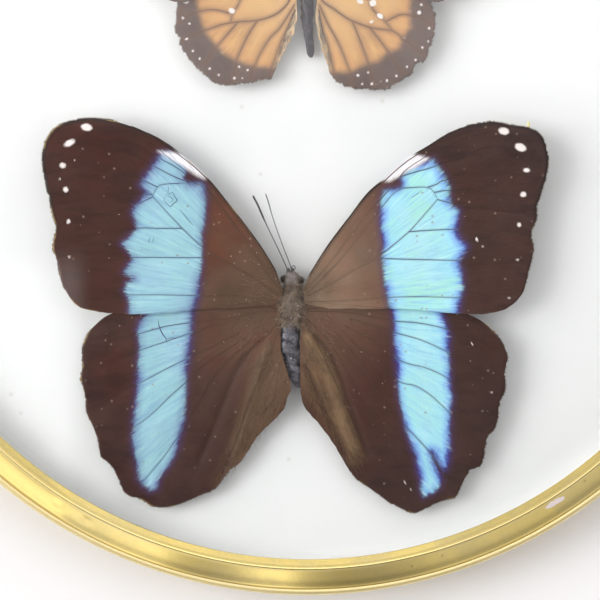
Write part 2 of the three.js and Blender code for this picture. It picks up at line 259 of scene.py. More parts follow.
def stretched(tree, vector, scale):
    # the place, times a number for each axis: a pattern is long where the number is small
    return place(tree, "ShaderNodeMapping", {"Vector": vector, "Scale": scale}).outputs[0]


def objectPlace(tree):
    # the place on the piece, in metres
    return place(tree, "ShaderNodeTexCoord").outputs["Object"]


def readAttribute(tree, name):
    # a vector for a name that ends in Flow, and otherwise a number
    made = place(tree, "ShaderNodeAttribute", attribute_name=name)
    return made.outputs["Vector"] if name.endswith("Flow") else made.outputs["Fac"]


def newMaterial(name):
    # a new material, its node tree and its surface shader
    material = bpy.data.materials.new(name)
    material.use_nodes = True
    tree = material.node_tree
    shader = tree.nodes["Principled BSDF"]
    return material, tree, shader


def finishSurface(tree, shader, inputs, height=None, strength=0.3, distance=0.0001):
    # the shader's inputs, and relief of up to strength x distance metres from a height of 0 to 1
    setInputs(tree, shader, inputs)
    if height is not None:
        bump = place(tree, "ShaderNodeBump",
                     {"Strength": strength, "Distance": distance, "Height": height})
        tree.links.new(bump.outputs[0], shader.inputs["Normal"])


def newGroup(name, inputs, outputs):
    # a node group with its named sockets, and the sockets of its own input and output nodes
    group = bpy.data.node_groups.new(name, "ShaderNodeTree")
    for socket, kind, value in inputs:
        made = group.interface.new_socket(socket, in_out="INPUT", socket_type=kind)
        if value is not None:
            made.default_value = value
    for socket, kind in outputs:
        group.interface.new_socket(socket, in_out="OUTPUT", socket_type=kind)
    return group, group.nodes.new("NodeGroupInput").outputs, group.nodes.new("NodeGroupOutput").inputs


def makeSpeckGroup():
    # patchy wear: soft patches where large noise is high, and a small round speck in the few
    # cells of a cell pattern whose random number is under 0.12 x amount
    group, given, gives = newGroup(
        "patchesAndSpecks",
        [("Vector", "NodeSocketVector", None), ("Patch Size", "NodeSocketFloat", 1.0),
         ("Speck Size", "NodeSocketFloat", 1.0), ("Amount", "NodeSocketFloat", 0.5)],
        [("Patches", "NodeSocketFloat"), ("Specks", "NodeSocketFloat")])
    patchScale = maths(group, "DIVIDE", 1.0, given["Patch Size"])
    speckScale = maths(group, "DIVIDE", 1.0, given["Speck Size"])
    patches = noise(group, given["Vector"], patchScale, 4.0, 0.6)
    group.links.new(band(group, patches, 0.38, 0.66), gives["Patches"])
    cells = place(group, "ShaderNodeTexVoronoi", {"Vector": given["Vector"], "Scale": speckScale})
    chance = place(group, "ShaderNodeSeparateColor", {0: cells.outputs["Color"]}).outputs[0]
    rare = maths(group, "LESS_THAN", chance, times(group, given["Amount"], 0.12))
    dot = band(group, cells.outputs["Distance"], 0.34, 0.12)
    group.links.new(times(group, rare, dot), gives["Specks"])
    return group


def makeGrainGroup():
    # fine even grain: the noise as a height, and 1 + contrast x (noise - 0.5) as a shade
    group, given, gives = newGroup(
        "fineGrain",
        [("Vector", "NodeSocketVector", None), ("Size", "NodeSocketFloat", 1.0),
         ("Contrast", "NodeSocketFloat", 0.2)],
        [("Shade", "NodeSocketFloat"), ("Height", "NodeSocketFloat")])
    fine = noise(group, given["Vector"], maths(group, "DIVIDE", 1.0, given["Size"]), 3.0, 0.65)
    group.links.new(swing(group, fine, given["Contrast"], 1.0), gives["Shade"])
    group.links.new(fine, gives["Height"])
    return group


specksGroup = makeSpeckGroup()
grainGroup = makeGrainGroup()


def specks(tree, vector, patchSize, speckSize, amount):
    # the patchesAndSpecks group with its own sizes, in the vector's unit
    made = place(tree, "ShaderNodeGroup", node_tree=specksGroup)
    setInputs(tree, made, {"Patch Size": patchSize, "Speck Size": speckSize, "Amount": amount,
                           "Vector": vector})
    return made.outputs["Patches"], made.outputs["Specks"]


def grain(tree, vector, size, contrast):
    # the fineGrain group with its own size, in the vector's unit
    made = place(tree, "ShaderNodeGroup", node_tree=grainGroup)
    setInputs(tree, made, {"Size": size, "Contrast": contrast, "Vector": vector})
    return made.outputs["Shade"], made.outputs["Height"]


def shaded(tree, colour, shade):
    # a colour times a number
    grey = place(tree, "ShaderNodeCombineColor", {0: shade, 1: shade, 2: shade}).outputs[0]
    return colourMix(tree, 1.0, colour, grey, "MULTIPLY")


def tinted(tree, factor, colour, shade):
    # a colour, and where the factor is 1 the colour times another one
    return colourMix(tree, factor, colour, colourMix(tree, 1.0, colour, shade, "MULTIPLY"))


# Materials of the case

# the pale colour of the ridge and the bead stands for rubbing and also for a painted highlight
brass = {
    "plain": (0.90, 0.70, 0.25), "aged": (0.84, 0.67, 0.28), "fleck": (0.52, 0.38, 0.15),
    "wearAndHighlight": (0.98, 0.86, 0.55), "bare": (0.86, 0.74, 0.72), "roughness": 0.11,
    "rubbedRoughness": 0.42, "chipTurn": 31, "chipSize": (0.0027, 0.0007, 0.01),
}


def makeBrass():
    # polished brass with dull flecks, paler and duller along the ridge and the bead where it is rubbed;
    # the paler colour there is also a painted highlight
    material, tree, shader = newMaterial("wornBrass")
    here = objectPlace(tree)
    patches, flecks = specks(tree, here, 0.012, 0.0016, 0.35)
    shade, height = grain(tree, here, 0.0009, 0.10)
    colour = colourMix(tree, patches, brass["plain"], brass["aged"])
    colour = colourMix(tree, times(tree, flecks, 0.3), colour, brass["fleck"])
    rough = addTimes(tree, patches, 0.05, brass["roughness"])
    rough = addTimes(tree, flecks, 0.10, rough)
    # the ridge and the bead: rubbing, plus a painted highlight in the paler colour
    wearAndHighlight = readAttribute(tree, "wearAndHighlight")
    rough = addTimes(tree, wearAndHighlight, brass["rubbedRoughness"], rough)
    colour = colourMix(tree, times(tree, wearAndHighlight, 0.55), colour, brass["wearAndHighlight"])
    # one place on the band where the plating is gone: a pinkish grey oval with a ragged edge
    spot = place(tree, "ShaderNodeMapping", {
        "Vector": here, "Location": rim["chip"], "Rotation": (0, 0, math.radians(brass["chipTurn"])),
        "Scale": brass["chipSize"]}, vector_type="TEXTURE").outputs[0]
    reach = place(tree, "ShaderNodeVectorMath", {0: spot}, operation="LENGTH").outputs["Value"]
    reach = addTimes(tree, noise(tree, here, 900.0, 2.0), 0.6, reach)
    chip = band(tree, reach, 1.25, 1.1)
    colour = colourMix(tree, chip, colour, brass["bare"])
    rough = addTimes(tree, chip, 0.35, rough)
    metal = addTimes(tree, chip, -0.85, 1.0)
    inputs = {"Base Color": shaded(tree, colour, shade), "Metallic": metal, "Roughness": rough}
    finishSurface(tree, shader, inputs, height, 0.08, 0.00004)
    return material


def makeGlass():
    # smooth clear glass that bends what is seen through it
    material, tree, shader = newMaterial("clearGlass")
    finishSurface(tree, shader, {"Base Color": (1, 1, 1, 1), "Roughness": 0.0, "IOR": 1.46,
                                 "Transmission Weight": 1.0})
    # lamps shine through: for shadow rays the glass is only a faint tint
    clear = place(tree, "ShaderNodeBsdfTransparent", {"Color": (0.95, 0.965, 0.96, 1)})
    isShadow = place(tree, "ShaderNodeLightPath").outputs["Is Shadow Ray"]
    both = place(tree, "ShaderNodeMixShader", {0: isShadow, 1: shader.outputs[0], 2: clear.outputs[0]})
    tree.links.new(both.outputs[0], tree.nodes["Material Output"].inputs["Surface"])
    return material


def makeCard():
    # matt white card with very faint clouds and a few specks
    material, tree, shader = newMaterial("whiteCard")
    here = objectPlace(tree)
    shade, height = grain(tree, here, 0.0005, 0.015)
    patches, flecks = specks(tree, here, 0.05, 0.002, 0.03)
    colour = colourMix(tree, patches, (0.86, 0.87, 0.875), (0.88, 0.885, 0.89))
    colour = colourMix(tree, times(tree, flecks, 0.25), colour, (0.5, 0.45, 0.4))
    inputs = {"Base Color": shaded(tree, colour, shade), "Roughness": 0.85, "Specular IOR Level": 0.2}
    finishSurface(tree, shader, inputs, height, 0.04, 0.00003)
    return material


def makeBoard():
    # brown pressed fibre, its grain drawn out along Y
    material, tree, shader = newMaterial("fibreBoard")
    here = objectPlace(tree)
    shade, height = grain(tree, stretched(tree, here, (1, 0.35, 1)), 0.0008, 0.5)
    patches, flecks = specks(tree, here, 0.03, 0.0025, 0.6)
    colour = colourMix(tree, patches, (0.33, 0.22, 0.12), (0.40, 0.28, 0.16))
    colour = colourMix(tree, times(tree, flecks, 0.6), colour, (0.16, 0.10, 0.06))
    inputs = {"Base Color": shaded(tree, colour, shade), "Roughness": 0.8, "Specular IOR Level": 0.25}
    finishSurface(tree, shader, inputs, height, 0.4, 0.0001)
    return material


def makeSteel():
    # steel with a thin yellow plating, brushed along X
    material, tree, shader = newMaterial("brassedSteel")
    here = objectPlace(tree)
    patches, _ = specks(tree, here, 0.004, 0.0008, 0.6)
    shade, height = grain(tree, stretched(tree, here, (0.2, 1, 1)), 0.0004, 0.3)
    colour = colourMix(tree, patches, (0.62, 0.50, 0.27), (0.52, 0.46, 0.34))
    rough = addTimes(tree, patches, 0.15, 0.28)
    inputs = {"Base Color": shaded(tree, colour, shade), "Metallic": 1.0, "Roughness": rough}
    finishSurface(tree, shader, inputs, height, 0.2, 0.00005)
    return material


# Materials of the butterflies

def wingGround(tree, look, root):
    # the ground colour of a wing by the distance from its root in millimetres, up to 60
    stops = [(d / 60, colour) for d, colour in look["ground"]]
    return ramp(tree, maths(tree, "DIVIDE", root, 60.0), stops)


# patterns as stretches of wingFlow or as lumps to a metre, and the colours that the four share
wingPatterns = {
    "streaks": (2.2, 0.25, 1), "teeth": (3.4, 0.5, 1), "rays": (0.9, 0.12, 1),
    "clouds": 90.0, "blotches": 230.0, "ruddy": 55.0, "hue": 120.0, "fringe": 210.0,
    "blotchShade": (0.5, 0.5, 0.58), "ruddyShade": (1.0, 0.62, 0.48), "dimShade": (0.66, 0.74, 0.88),
    "violet": (0.07, 0.035, 0.12), "veinOnBlue": (0.12, 0.24, 0.38),
    "bare": (0.30, 0.22, 0.18), "costa": (0.022, 0.013, 0.011), "patch": (0.94, 0.90, 0.93),
    "spot": (0.90, 0.82, 0.80), "fringeColour": (0.55, 0.38, 0.14),
}


def makeBlueWing(name, look):
    # brown ground by the distance from the root, then the folds, with painted shade in their creases and a
    # painted
    #     highlight along their ridges, the blue band where the depth inside its outline plus ragged noise is
    #     above 0, then pale patch, spots and margins
    material, tree, shader = newMaterial(name)
    flow = readAttribute(tree, "wingFlow")
    here = objectPlace(tree)
    inBand = readAttribute(tree, "bandDistance")
    colour = wingGround(tree, look, readAttribute(tree, "rootDistance"))
    away = band(tree, readAttribute(tree, "rootDistance"), 1.0, 16.0)

    streaks = noise(tree, stretched(tree, flow, wingPatterns["streaks"]), 1.0, 3.0, 0.6)
    clouds = noise(tree, here, wingPatterns["clouds"], 3.0, 0.55)
    shade = swing(tree, streaks, look["streaks"], 1.0)
    shade = swing(tree, clouds, 1.0, shade)
    colour = shaded(tree, colour, shade)
    blotch = noise(tree, stretched(tree, here, (0.5, 1.6, 1)), wingPatterns["blotches"], 4.0, 0.65)
    blotch = band(tree, blotch, 0.47, 0.66, 0.62)
    blotch = times(tree, blotch, band(tree, readAttribute(tree, "rootDistance"), 22, 38))
    colour = tinted(tree, blotch, colour, wingPatterns["blotchShade"])

    ruddy = band(tree, noise(tree, here, wingPatterns["ruddy"], 3.0, 0.6), 0.42, 0.66, look["ruddy"])
    colour = tinted(tree, ruddy, colour, wingPatterns["ruddyShade"])
    tan = band(tree, readAttribute(tree, "tanDistance"), -2.4, 2.4)
    tan = times(tree, tan, band(tree, streaks, 0.2, 0.65))
    colour = colourMix(tree, tan, colour, look["tan"])
    # painted highlight: the raised ridges of the folds are coloured lighter
    ridge = band(tree, readAttribute(tree, "ridgeDistance"), 2.1, 0.2, 0.85)
    colour = colourMix(tree, ridge, colour, look["ridge"])
    # painted shade: the creases of the folds are coloured darker
    paintedCreaseShade = band(tree, readAttribute(tree, "foldDistance"), 1.1, 0.0, look["paintedCreaseShade"])
    colour = colourMix(tree, paintedCreaseShade, colour, look["creaseShadeColour"])

    # the band's edges are ragged, because they are single rows of scales
    teeth = noise(tree, stretched(tree, flow, wingPatterns["teeth"]), 1.0, 5.0, 0.9)
    teeth = maths(tree, "SUBTRACT", teeth, 0.5)
    edge = addTimes(tree, teeth, look["teeth"], inBand)
    hue = noise(tree, here, wingPatterns["hue"], 2.0, 0.5)
    depth = swing(tree, hue, 2.6, edge)
    blue = ramp(tree, maths(tree, "DIVIDE", depth, 8.0), look["blue"])
    rays = noise(tree, stretched(tree, flow, wingPatterns["rays"]), 1.0, 4.0, 0.65)
    green = times(tree, band(tree, hue, 0.40, 0.6, look["green"]), band(tree, rays, 0.3, 0.6))
    blue = colourMix(tree, green, blue, look["teal"])
    dim = band(tree, rays, 0.54, 0.3, 0.62)
    blue = tinted(tree, dim, blue, wingPatterns["dimShade"])
    # painted highlight: a paler glint colour along some of the rays of the blue
    paintedGlint = band(tree, rays, 0.54, 0.72, 0.6)
    blue = colourMix(tree, paintedGlint, blue, look["glint"])
    scaleShade, scaleHeight = grain(tree, stretched(tree, flow, (1, 0.4, 1)), 0.16, 0.45)
    blue = shaded(tree, blue, addTimes(tree, maths(tree, "SUBTRACT", scaleShade, 1.0), 0.7, 1.0))
    colour = shaded(tree, colour, scaleShade)
    inside = band(tree, edge, -0.42, 0.48)
    colour = colourMix(tree, inside, colour, blue)
    violet = times(tree, band(tree, edge, -1.5, 0.0), band(tree, edge, 0.5, -0.1))
    colour = colourMix(tree, times(tree, violet, 0.45), colour, wingPatterns["violet"])

    nearVein = band(tree, readAttribute(tree, "veinDistance"), 0.5, 0.05, 0.35)
    veinShade = colourMix(tree, inside, shaded(tree, colour, 0.72), wingPatterns["veinOnBlue"])
    colour = colourMix(tree, nearVein, colour, veinShade)

    # rubbed places, lost scales, and the pale fringe between the scallops
    patches, flecks = specks(tree, here, 0.006, 0.0011, 0.5)
    colour = colourMix(tree, times(tree, flecks, 0.55), colour, wingPatterns["bare"])
    margin = readAttribute(tree, "marginDistance")
    leading = place(tree, "ShaderNodeSeparateXYZ", {0: flow}).outputs[0]
    costa = band(tree, leading, look["costaEnd"] + 6, look["costaEnd"])
    costa = times(tree, costa, band(tree, margin, 0.75, 0.35))
    colour = colourMix(tree, times(tree, costa, 0.85), colour, wingPatterns["costa"])
    patch = band(tree, addTimes(tree, teeth, 3.0, readAttribute(tree, "patchDistance")), -0.5, 0.7)
    patchColour = colourMix(tree, band(tree, rays, 0.3, 0.5), look["patchShade"], wingPatterns["patch"])
    colour = colourMix(tree, patch, colour, patchColour)
    spot = addTimes(tree, teeth, 0.55, readAttribute(tree, "spotDistance"))
    colour = colourMix(tree, band(tree, spot, -0.14, 0.26), colour, wingPatterns["spot"])
    pale = band(tree, noise(tree, here, wingPatterns["fringe"], 1.0), 0.52, 0.62)
    pale = times(tree, band(tree, margin, 0.3, 0.05), pale)
    pale = times(tree, pale, band(tree, leading, 88, 84))
    colour = colourMix(tree, times(tree, pale, look["fringe"]), colour, wingPatterns["fringeColour"])

    rough = addTimes(tree, inside, -0.18, 0.62)
    rough = addTimes(tree, patches, -0.08, rough)
    height = times(tree, maths(tree, "ADD", scaleHeight, streaks), away)
    inputs = {"Base Color": colour, "Roughness": rough, "Specular IOR Level": 0.22,
              "Metallic": times(tree, inside, 0.12)}
    finishSurface(tree, shader, inputs, height, 0.35, 0.00012)
    return material


def makeOrangeWing(name, look):
    # orange ground, browner beside the veins and outside the band outline, with white dots
    material, tree, shader = newMaterial(name)
    flow = readAttribute(tree, "wingFlow")
    here = objectPlace(tree)
    streaks = noise(tree, stretched(tree, flow, (2.0, 0.22, 1)), 1.0, 3.0, 0.6)
    clouds = noise(tree, here, 110.0, 3.0, 0.55)
    shade = swing(tree, streaks, 0.8, 1.0)
    shade = swing(tree, clouds, 0.7, shade)
    scaleShade, scaleHeight = grain(tree, stretched(tree, flow, (1, 0.4, 1)), 0.16, 0.35)
    colour = shaded(tree, wingGround(tree, look, readAttribute(tree, "rootDistance")), shade)
    colour = shaded(tree, colour, scaleShade)
    teeth = noise(tree, stretched(tree, flow, (1.8, 0.5, 1)), 1.0, 3.0, 0.7)
    teeth = maths(tree, "SUBTRACT", teeth, 0.5)
    inner = addTimes(tree, teeth, 1.6, readAttribute(tree, "bandDistance"))
    dark = shaded(tree, colourMix(tree, clouds, look["border"], look["borderPale"]), shade)
    colour = colourMix(tree, band(tree, inner, 1.5, -0.5), colour, dark)
    nearVein = band(tree, readAttribute(tree, "veinDistance"), 0.95, 0.05, 0.55)
    colour = colourMix(tree, nearVein, colour, look["veinEdge"])
    between = band(tree, readAttribute(tree, "veinDistance"), 0.8, 2.4, 0.5)
    between = times(tree, between, band(tree, inner, 0.5, 3.0))
    colour = colourMix(tree, between, colour, look["glow"])
    paleEdge = band(tree, readAttribute(tree, "tanDistance"), -0.5, 0.8, 0.75)
    colour = colourMix(tree, paleEdge, colour, look["tan"])
    dots = addTimes(tree, teeth, 0.3, readAttribute(tree, "spotDistance"))
    white = maths(tree, "MAXIMUM", band(tree, dots, -0.04, 0.2),
                  band(tree, readAttribute(tree, "patchDistance"), -0.1, 0.2))
    colour = colourMix(tree, white, colour, (0.78, 0.73, 0.72))
    patches, flecks = specks(tree, here, 0.006, 0.0012, 0.4)
    colour = colourMix(tree, times(tree, flecks, 0.4), colour, (0.5, 0.4, 0.32))
    rough = addTimes(tree, patches, -0.08, 0.66)
    inputs = {"Base Color": colour, "Roughness": rough, "Specular IOR Level": 0.22}
    finishSurface(tree, shader, inputs, maths(tree, "ADD", scaleHeight, streaks), 0.35, 0.00012)
    return material


def makeVeinMaterial(name, look):
    # veins are a darker shade of the ground, and slate blue or brown where they cross the band
    material, tree, shader = newMaterial(name)
    here = objectPlace(tree)
    shade, height = grain(tree, here, 0.0006, 0.5)
    inside = band(tree, readAttribute(tree, "bandDistance"), -0.3, 0.3)
    ground = wingGround(tree, look, readAttribute(tree, "rootDistance"))
    outside = shaded(tree, ground, look["veinShade"])
    colour = shaded(tree, colourMix(tree, inside, outside, look["veinInBand"]), shade)
    spot = band(tree, readAttribute(tree, "spotDistance"), -0.2, 0.1)
    inputs = {"Base Color": colourMix(tree, spot, colour, wingPatterns["spot"]), "Roughness": 0.6,
              "Specular IOR Level": 0.22}
    finishSurface(tree, shader, inputs, height, 0.2, 0.00005)
    return material


def makeHair(name, dark, light, roughness=0.55):
    # hair that goes from dark to light in clumps
    material, tree, shader = newMaterial(name)
    here = objectPlace(tree)
    clumps = noise(tree, here, 700.0, 3.0, 0.6)
    colour = colourMix(tree, band(tree, clumps, 0.3, 0.7), dark, light)
    inputs = {"Base Color": colour, "Roughness": roughness, "Specular IOR Level": 0.4}
    finishSurface(tree, shader, inputs)
    return material


def makeBodyMaterial(name, look):
    # hard mottled skin, with its own colours on the thorax and pale flecks all over
    material, tree, shader = newMaterial(name)
    here = objectPlace(tree)
    shade, height = grain(tree, here, 0.00045, 0.6)
    patches, flecks = specks(tree, here, 0.0016, 0.0007, 0.8)
    front = readAttribute(tree, "thorax")
    colour = colourMix(tree, patches, look["dark"], look["light"])
    thorax = colourMix(tree, patches, look["thorax"], look["thoraxLight"])
    colour = colourMix(tree, front, colour, thorax)
    colour = colourMix(tree, times(tree, flecks, 0.6), colour, look["dust"])
    rough = addTimes(tree, patches, 0.2, look["roughness"])
    rough = addTimes(tree, front, 0.35, rough)
    inputs = {"Base Color": shaded(tree, colour, shade), "Roughness": rough, "Specular IOR Level": 0.5}
    finishSurface(tree, shader, inputs, height, 0.5, 0.0001)
    return material


def makeEyeMaterial():
    # dark, with a raised cell for each facet
    material, tree, shader = newMaterial("facetedEye")
    cells = place(tree, "ShaderNodeTexVoronoi", {"Vector": objectPlace(tree), "Scale": 9000.0})
    middle = cells.outputs["Distance"]
    colour = ramp(tree, middle, [(0.0, (0.05, 0.03, 0.025)), (0.7, (0.015, 0.01, 0.01))])
    finishSurface(tree, shader, {"Base Color": colour, "Roughness": 0.22}, middle, 0.3, 0.00003)
    return material


# The case

rim = {
    "steps": 512, "outer": 102.0, "lip": 94.0, "top": 15.6,
    # heading in degrees, radius, height and half length of each bump, or of a dent where it is low
    "bumps": [(-123.0, 97.6, 0.07, 0.9), (-119.2, 97.4, 0.09, 1.1),
              (-38.0, 98.4, -0.05, 3.0), (62.0, 97.0, -0.05, 4.0)],
    "bumpAcross": 0.9, "waviness": 0.02, "waves": [(9, 0.4), (14, 2.1), (23, 4.0), (37, 1.3)],
    "ridgeWearAndHighlight": 0.35, "chip": (0.0530, -0.0813, 0.0145),
}
tabs = {"count": 8, "length": 5.6, "width": 7.0, "low": 2.3, "high": 2.9, "cut": 0.6, "inset": 2.0}
glass = {
    "edge": 95.3, "rise": 16.0, "bottom": 10.6, "thickness": 2.0, "radius": 98.0, "bevel": 0.25,
    "steps": 384, "rings": 40,
}


def rimProfile():
    # from the folded rear edge up the wall, round the bead, over the groove, the sloping band and
    # the ridge, and down the rolled lip to the glass; the last points are the inside of the sheet
    outer, lip, top = rim["outer"], rim["lip"], rim["top"]
    wall = outer - 1.4
    return [
        (wall - 2, 0), (wall - 0.5, 0), (wall - 0.1, 0.1), (wall, 0.5), (wall, 4), (wall, 8), (wall, 11.2),
        (wall + 0.15, 11.8), (outer - 0.5, 11.95), (outer - 0.05, 12.15), (outer, 12.6),
        (outer - 0.03, 13.05), (outer - 0.25, 13.36), (outer - 0.8, 13.5), (outer - 1.15, 13.4),
        (outer - 1.35, 13.34), (outer - 1.5, 13.42), (outer - 1.62, 13.68), (outer - 1.85, 13.86),
        (outer - 2.2, 13.99), (outer - 3.6, 14.5), (lip + 2.6, 15.22), (lip + 2.0, top - 0.1),
        (lip + 1.75, top), (lip + 1.5, top - 0.1), (lip + 1.1, 15.1), (lip + 0.6, 14.5),
        (lip + 0.2, 14.0), (lip - 0.03, 13.75), (lip + 0.05, 13.5), (lip + 0.3, 13.4), (lip + 1, 13.4),
        (lip + 3, 13.4), (outer - 3.6, 13.1), (wall - 1.4, 12.1), (wall - 1, 11.4), (wall - 1, 8),
        (wall - 1, 4), (wall - 1, 1.2), (wall - 1.2, 1), (wall - 2, 1), (wall - 2.2, 0.8), (wall - 2.2, 0.2),
    ]


def makeRim(material):
    # the rounded outline turned round the axis. On its top a bump adds
    # height x exp(-(along / its length) squared - (across / its width) squared), and four sine
    # waves round the ring make it slightly uneven
    profile = roundedCorners(rimProfile(), 2)
    profile[:, 1] = np.maximum(profile[:, 1], 0)
    profile[:, 0] += (rim["outer"] - profile[:, 0].max()) * (profile[:, 0] > rim["outer"] - 1)
    points, faces = turned(profile, rim["steps"])
    angle = np.degrees(np.arctan2(points[..., 1], points[..., 0]))
    radius = np.hypot(points[..., 0], points[..., 1])
    ontop = np.clip((points[..., 2] - 12.5) / 0.6, 0, 1)
    sink = 0
    for heading, at, height, width in rim["bumps"]:
        away = (angle - heading + 180) % 360 - 180
        along = np.radians(away) * at
        sink = sink - height * np.exp(-(along / width) ** 2 - ((radius - at) / rim["bumpAcross"]) ** 2)
    turnsRound = np.radians(angle)
    wave = sum(np.sin(k * turnsRound + phase) for k, phase in rim["waves"]) / 2.5
    offLip = np.clip((radius - rim["lip"] - 0.5) / 1.5, 0, 1)
    points[..., 2] -= ontop * (sink + rim["waviness"] * (1 + wave) * offLip)
    made = makeObject("brass_rim", points.reshape(-1, 3), faces, material)
    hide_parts("rim")
    # the ridge and the bead are marked for rubbing and for a painted highlight
    ridge = np.exp(-((radius - rim["lip"] - 1.8) / 0.5) ** 2)
    bead = np.clip((radius - rim["outer"] + 1.45) / 0.3, 0, 1) * (points[..., 2] > 11)
    addAttribute(made, "wearAndHighlight", np.maximum(rim["ridgeWearAndHighlight"] * ridge * ontop, bead).ravel())


def makeTabs(material):
    # the tabs that hold the back board, pressed in from the wall: one flat outline, given a
    # thickness and turned to each place round the ring
    half, length, cut = tabs["width"] / 2, tabs["length"], tabs["cut"]
    outline = roundedCorners([(0, -half), (-length, -half + cut), (-length, half - cut), (0, half)], 2)
    x, y = (outline + [rim["outer"] - tabs["inset"], 0]).T
    order = np.arange(len(outline))
    side = gridFaces(2, len(outline), wrapColumns=True)[:, ::-1]
    shapes = []
    for i in range(tabs["count"]):
        turn = (i + 0.5) * 2 * np.pi / tabs["count"]
        flat = np.stack([x * np.cos(turn) - y * np.sin(turn), x * np.sin(turn) + y * np.cos(turn)], -1)
        rings = np.stack([np.c_[flat, np.full(len(flat), z)] for z in (tabs["low"], tabs["high"])])
        shapes.append((rings.reshape(-1, 3), [*side, order, (order + len(flat))[::-1]]))
    points, faces = joinShapes(shapes)
    made = makeObject("back_board_tabs", points, faces, material, smooth=False)


def makeDome(material):
    # two arcs of one centre over a flat edge, turned round the axis: a cap of width w and rise h
    # has the radius (w squared + h squared) / 2h
    inner = (glass["edge"] ** 2 + glass["rise"] ** 2) / (2 * glass["rise"])
    centre = glass["bottom"] + glass["rise"] - inner
    outer = inner + glass["thickness"]
    top = glass["bottom"] + glass["thickness"]
    def arc(radius, height):
        angle = np.linspace(0.004, math.acos((height - centre) / radius), glass["rings"])
        return np.stack([radius * np.sin(angle), centre + radius * np.cos(angle)], -1)
    bevel, bottom = glass["bevel"], glass["bottom"]
    edge = [(glass["radius"] - bevel, top), (glass["radius"], top - bevel),
            (glass["radius"], bottom + bevel), (glass["radius"] - bevel, bottom)]
    profile = np.vstack([arc(outer, top), edge, arc(inner, bottom)[::-1]])
    steps, count = glass["steps"], len(profile)
    points, _ = turned(profile, steps)
    faces = gridFaces(steps, count, wrapRows=True)
    # both poles are closed with triangles round a point
    ring = np.arange(steps) * count
    poles = np.array([(0, 0, centre + outer), (0, 0, centre + inner)])
    following, pole = np.roll(ring, -1), np.full(steps, steps * count)
    above = np.stack([ring, following, pole], -1)
    below = np.stack([following + count - 1, ring + count - 1, pole + 1], -1)
    made = makeObject("glass_dome", np.vstack([points.reshape(-1, 3), poles]),
                      [*faces, *above, *below], material)
    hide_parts("domed_glass")


def dressCadNode(name, material):
    # the solid keeps its own mesh and only gets its material
    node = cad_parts[name]
    node.data.materials.clear()
    node.data.materials.append(material)


# Wings. Places on a wing are [across, along] in millimetres from the middle of the thorax, where
# across is away from the body on either side. A wing is one dictionary: its outline, the line of
# its root, the outlines of its colour band, pale patch and tan fold, its spots, its veins and its
# fine damage.

blueHeights = {
    "hinge": 12.3, "span": 52.0, "rise": 1.2, "hindRise": 0.8, "drop": 0.75, "droop": 1.9, "reach": 46.0}
orangeHeights = {
    "hinge": 11.7, "span": 41.0, "rise": 1.6, "hindRise": 0.8, "drop": 0.75, "droop": 1.0, "reach": 28.0}
relief = {
    "lift": 0.06, "vein": 0.10, "veinReach": 2.5, "calmRoot": 12, "wave": 0.09, "waveLength": 16,
    "smallWave": 0.05, "smallLength": 6, "curl": 0.16, "curlReach": 1.6, "curlLength": 9,
    "ridge": 0.38, "ridgeWidth": 1.0, "fold": 0.22, "foldWidth": 0.8,
}
flowSpan = (110, 52)  # the lengths that wingFlow gives to a wing's edge and to its rays
veinSizes = {"costa": 1.3, "subcosta": 1.0, "cubitus": 1.15, "radius": 1.1, "other": 0.85}
blueCentre = np.array([-3.3, -38.2])
orangeCentre = np.array([-0.1, 34.5])


def wingHeight(xy, kind, heights):
    # hinge + rise x (across / span) squared; a hind wing lies lower, rises less, and sinks by
    # droop x (distance to the rear / reach) to the power 1.5
    lift = heights["rise"] * (xy[:, 0] / heights["span"]) ** 2
    if kind == "forewing":
        return heights["hinge"] + lift
    sag = heights["droop"] * np.clip(-xy[:, 1] / heights["reach"], 0, 1) ** 1.5
    return heights["hinge"] - heights["drop"] + heights["hindRise"] * lift - sag


def wingSurface(xy, wing):
    # the top of the wing: its height, lower along the veins, with slight ripples and a curled
    # margin, raised by exp(-(distance / width) squared) along a ridge and lowered so along a fold
    z = wingHeight(xy, wing["kind"], wing["heights"]) + relief["lift"]
    near = lineDistance(xy, [smoothLine(line, 24) for line in wing["veins"].values()])
    margin = lineDistance(xy, [wing["edge"]])
    z += relief["vein"] * np.clip(near / relief["veinReach"], 0, 1) - relief["vein"] / 2
    fade = np.clip(np.hypot(*(xy - wing["rootLine"][0]).T) / relief["calmRoot"], 0, 1)
    z += fade * (relief["wave"] * ripple(xy, relief["waveLength"], wing["seed"])
                 + relief["smallWave"] * ripple(xy, relief["smallLength"], wing["seed"] + 1))
    curl = ripple(xy, relief["curlLength"], wing["seed"] + 2)
    z += relief["curl"] * np.exp(-margin / relief["curlReach"]) * curl * fade
    z += relief["ridge"] * np.exp(-(lineDistance(xy, wing["ridges"]) / relief["ridgeWidth"]) ** 2)
    z -= relief["fold"] * np.exp(-(lineDistance(xy, wing["folds"]) / relief["foldWidth"]) ** 2)
    return z, near, margin


def intoFrame(xy, z, wing):
    # [across, along] places and heights on a wing, as places in the frame
    return np.stack([wing["centre"][0] + wing["side"] * xy[..., 0], wing["centre"][1] + xy[..., 1], z], -1)


def depthIn(xy, outline):
    # the depth inside an outline, or far outside where a wing has none
    return insideDistance(xy, np.array(outline)) if outline else np.full(len(xy), -9.0)


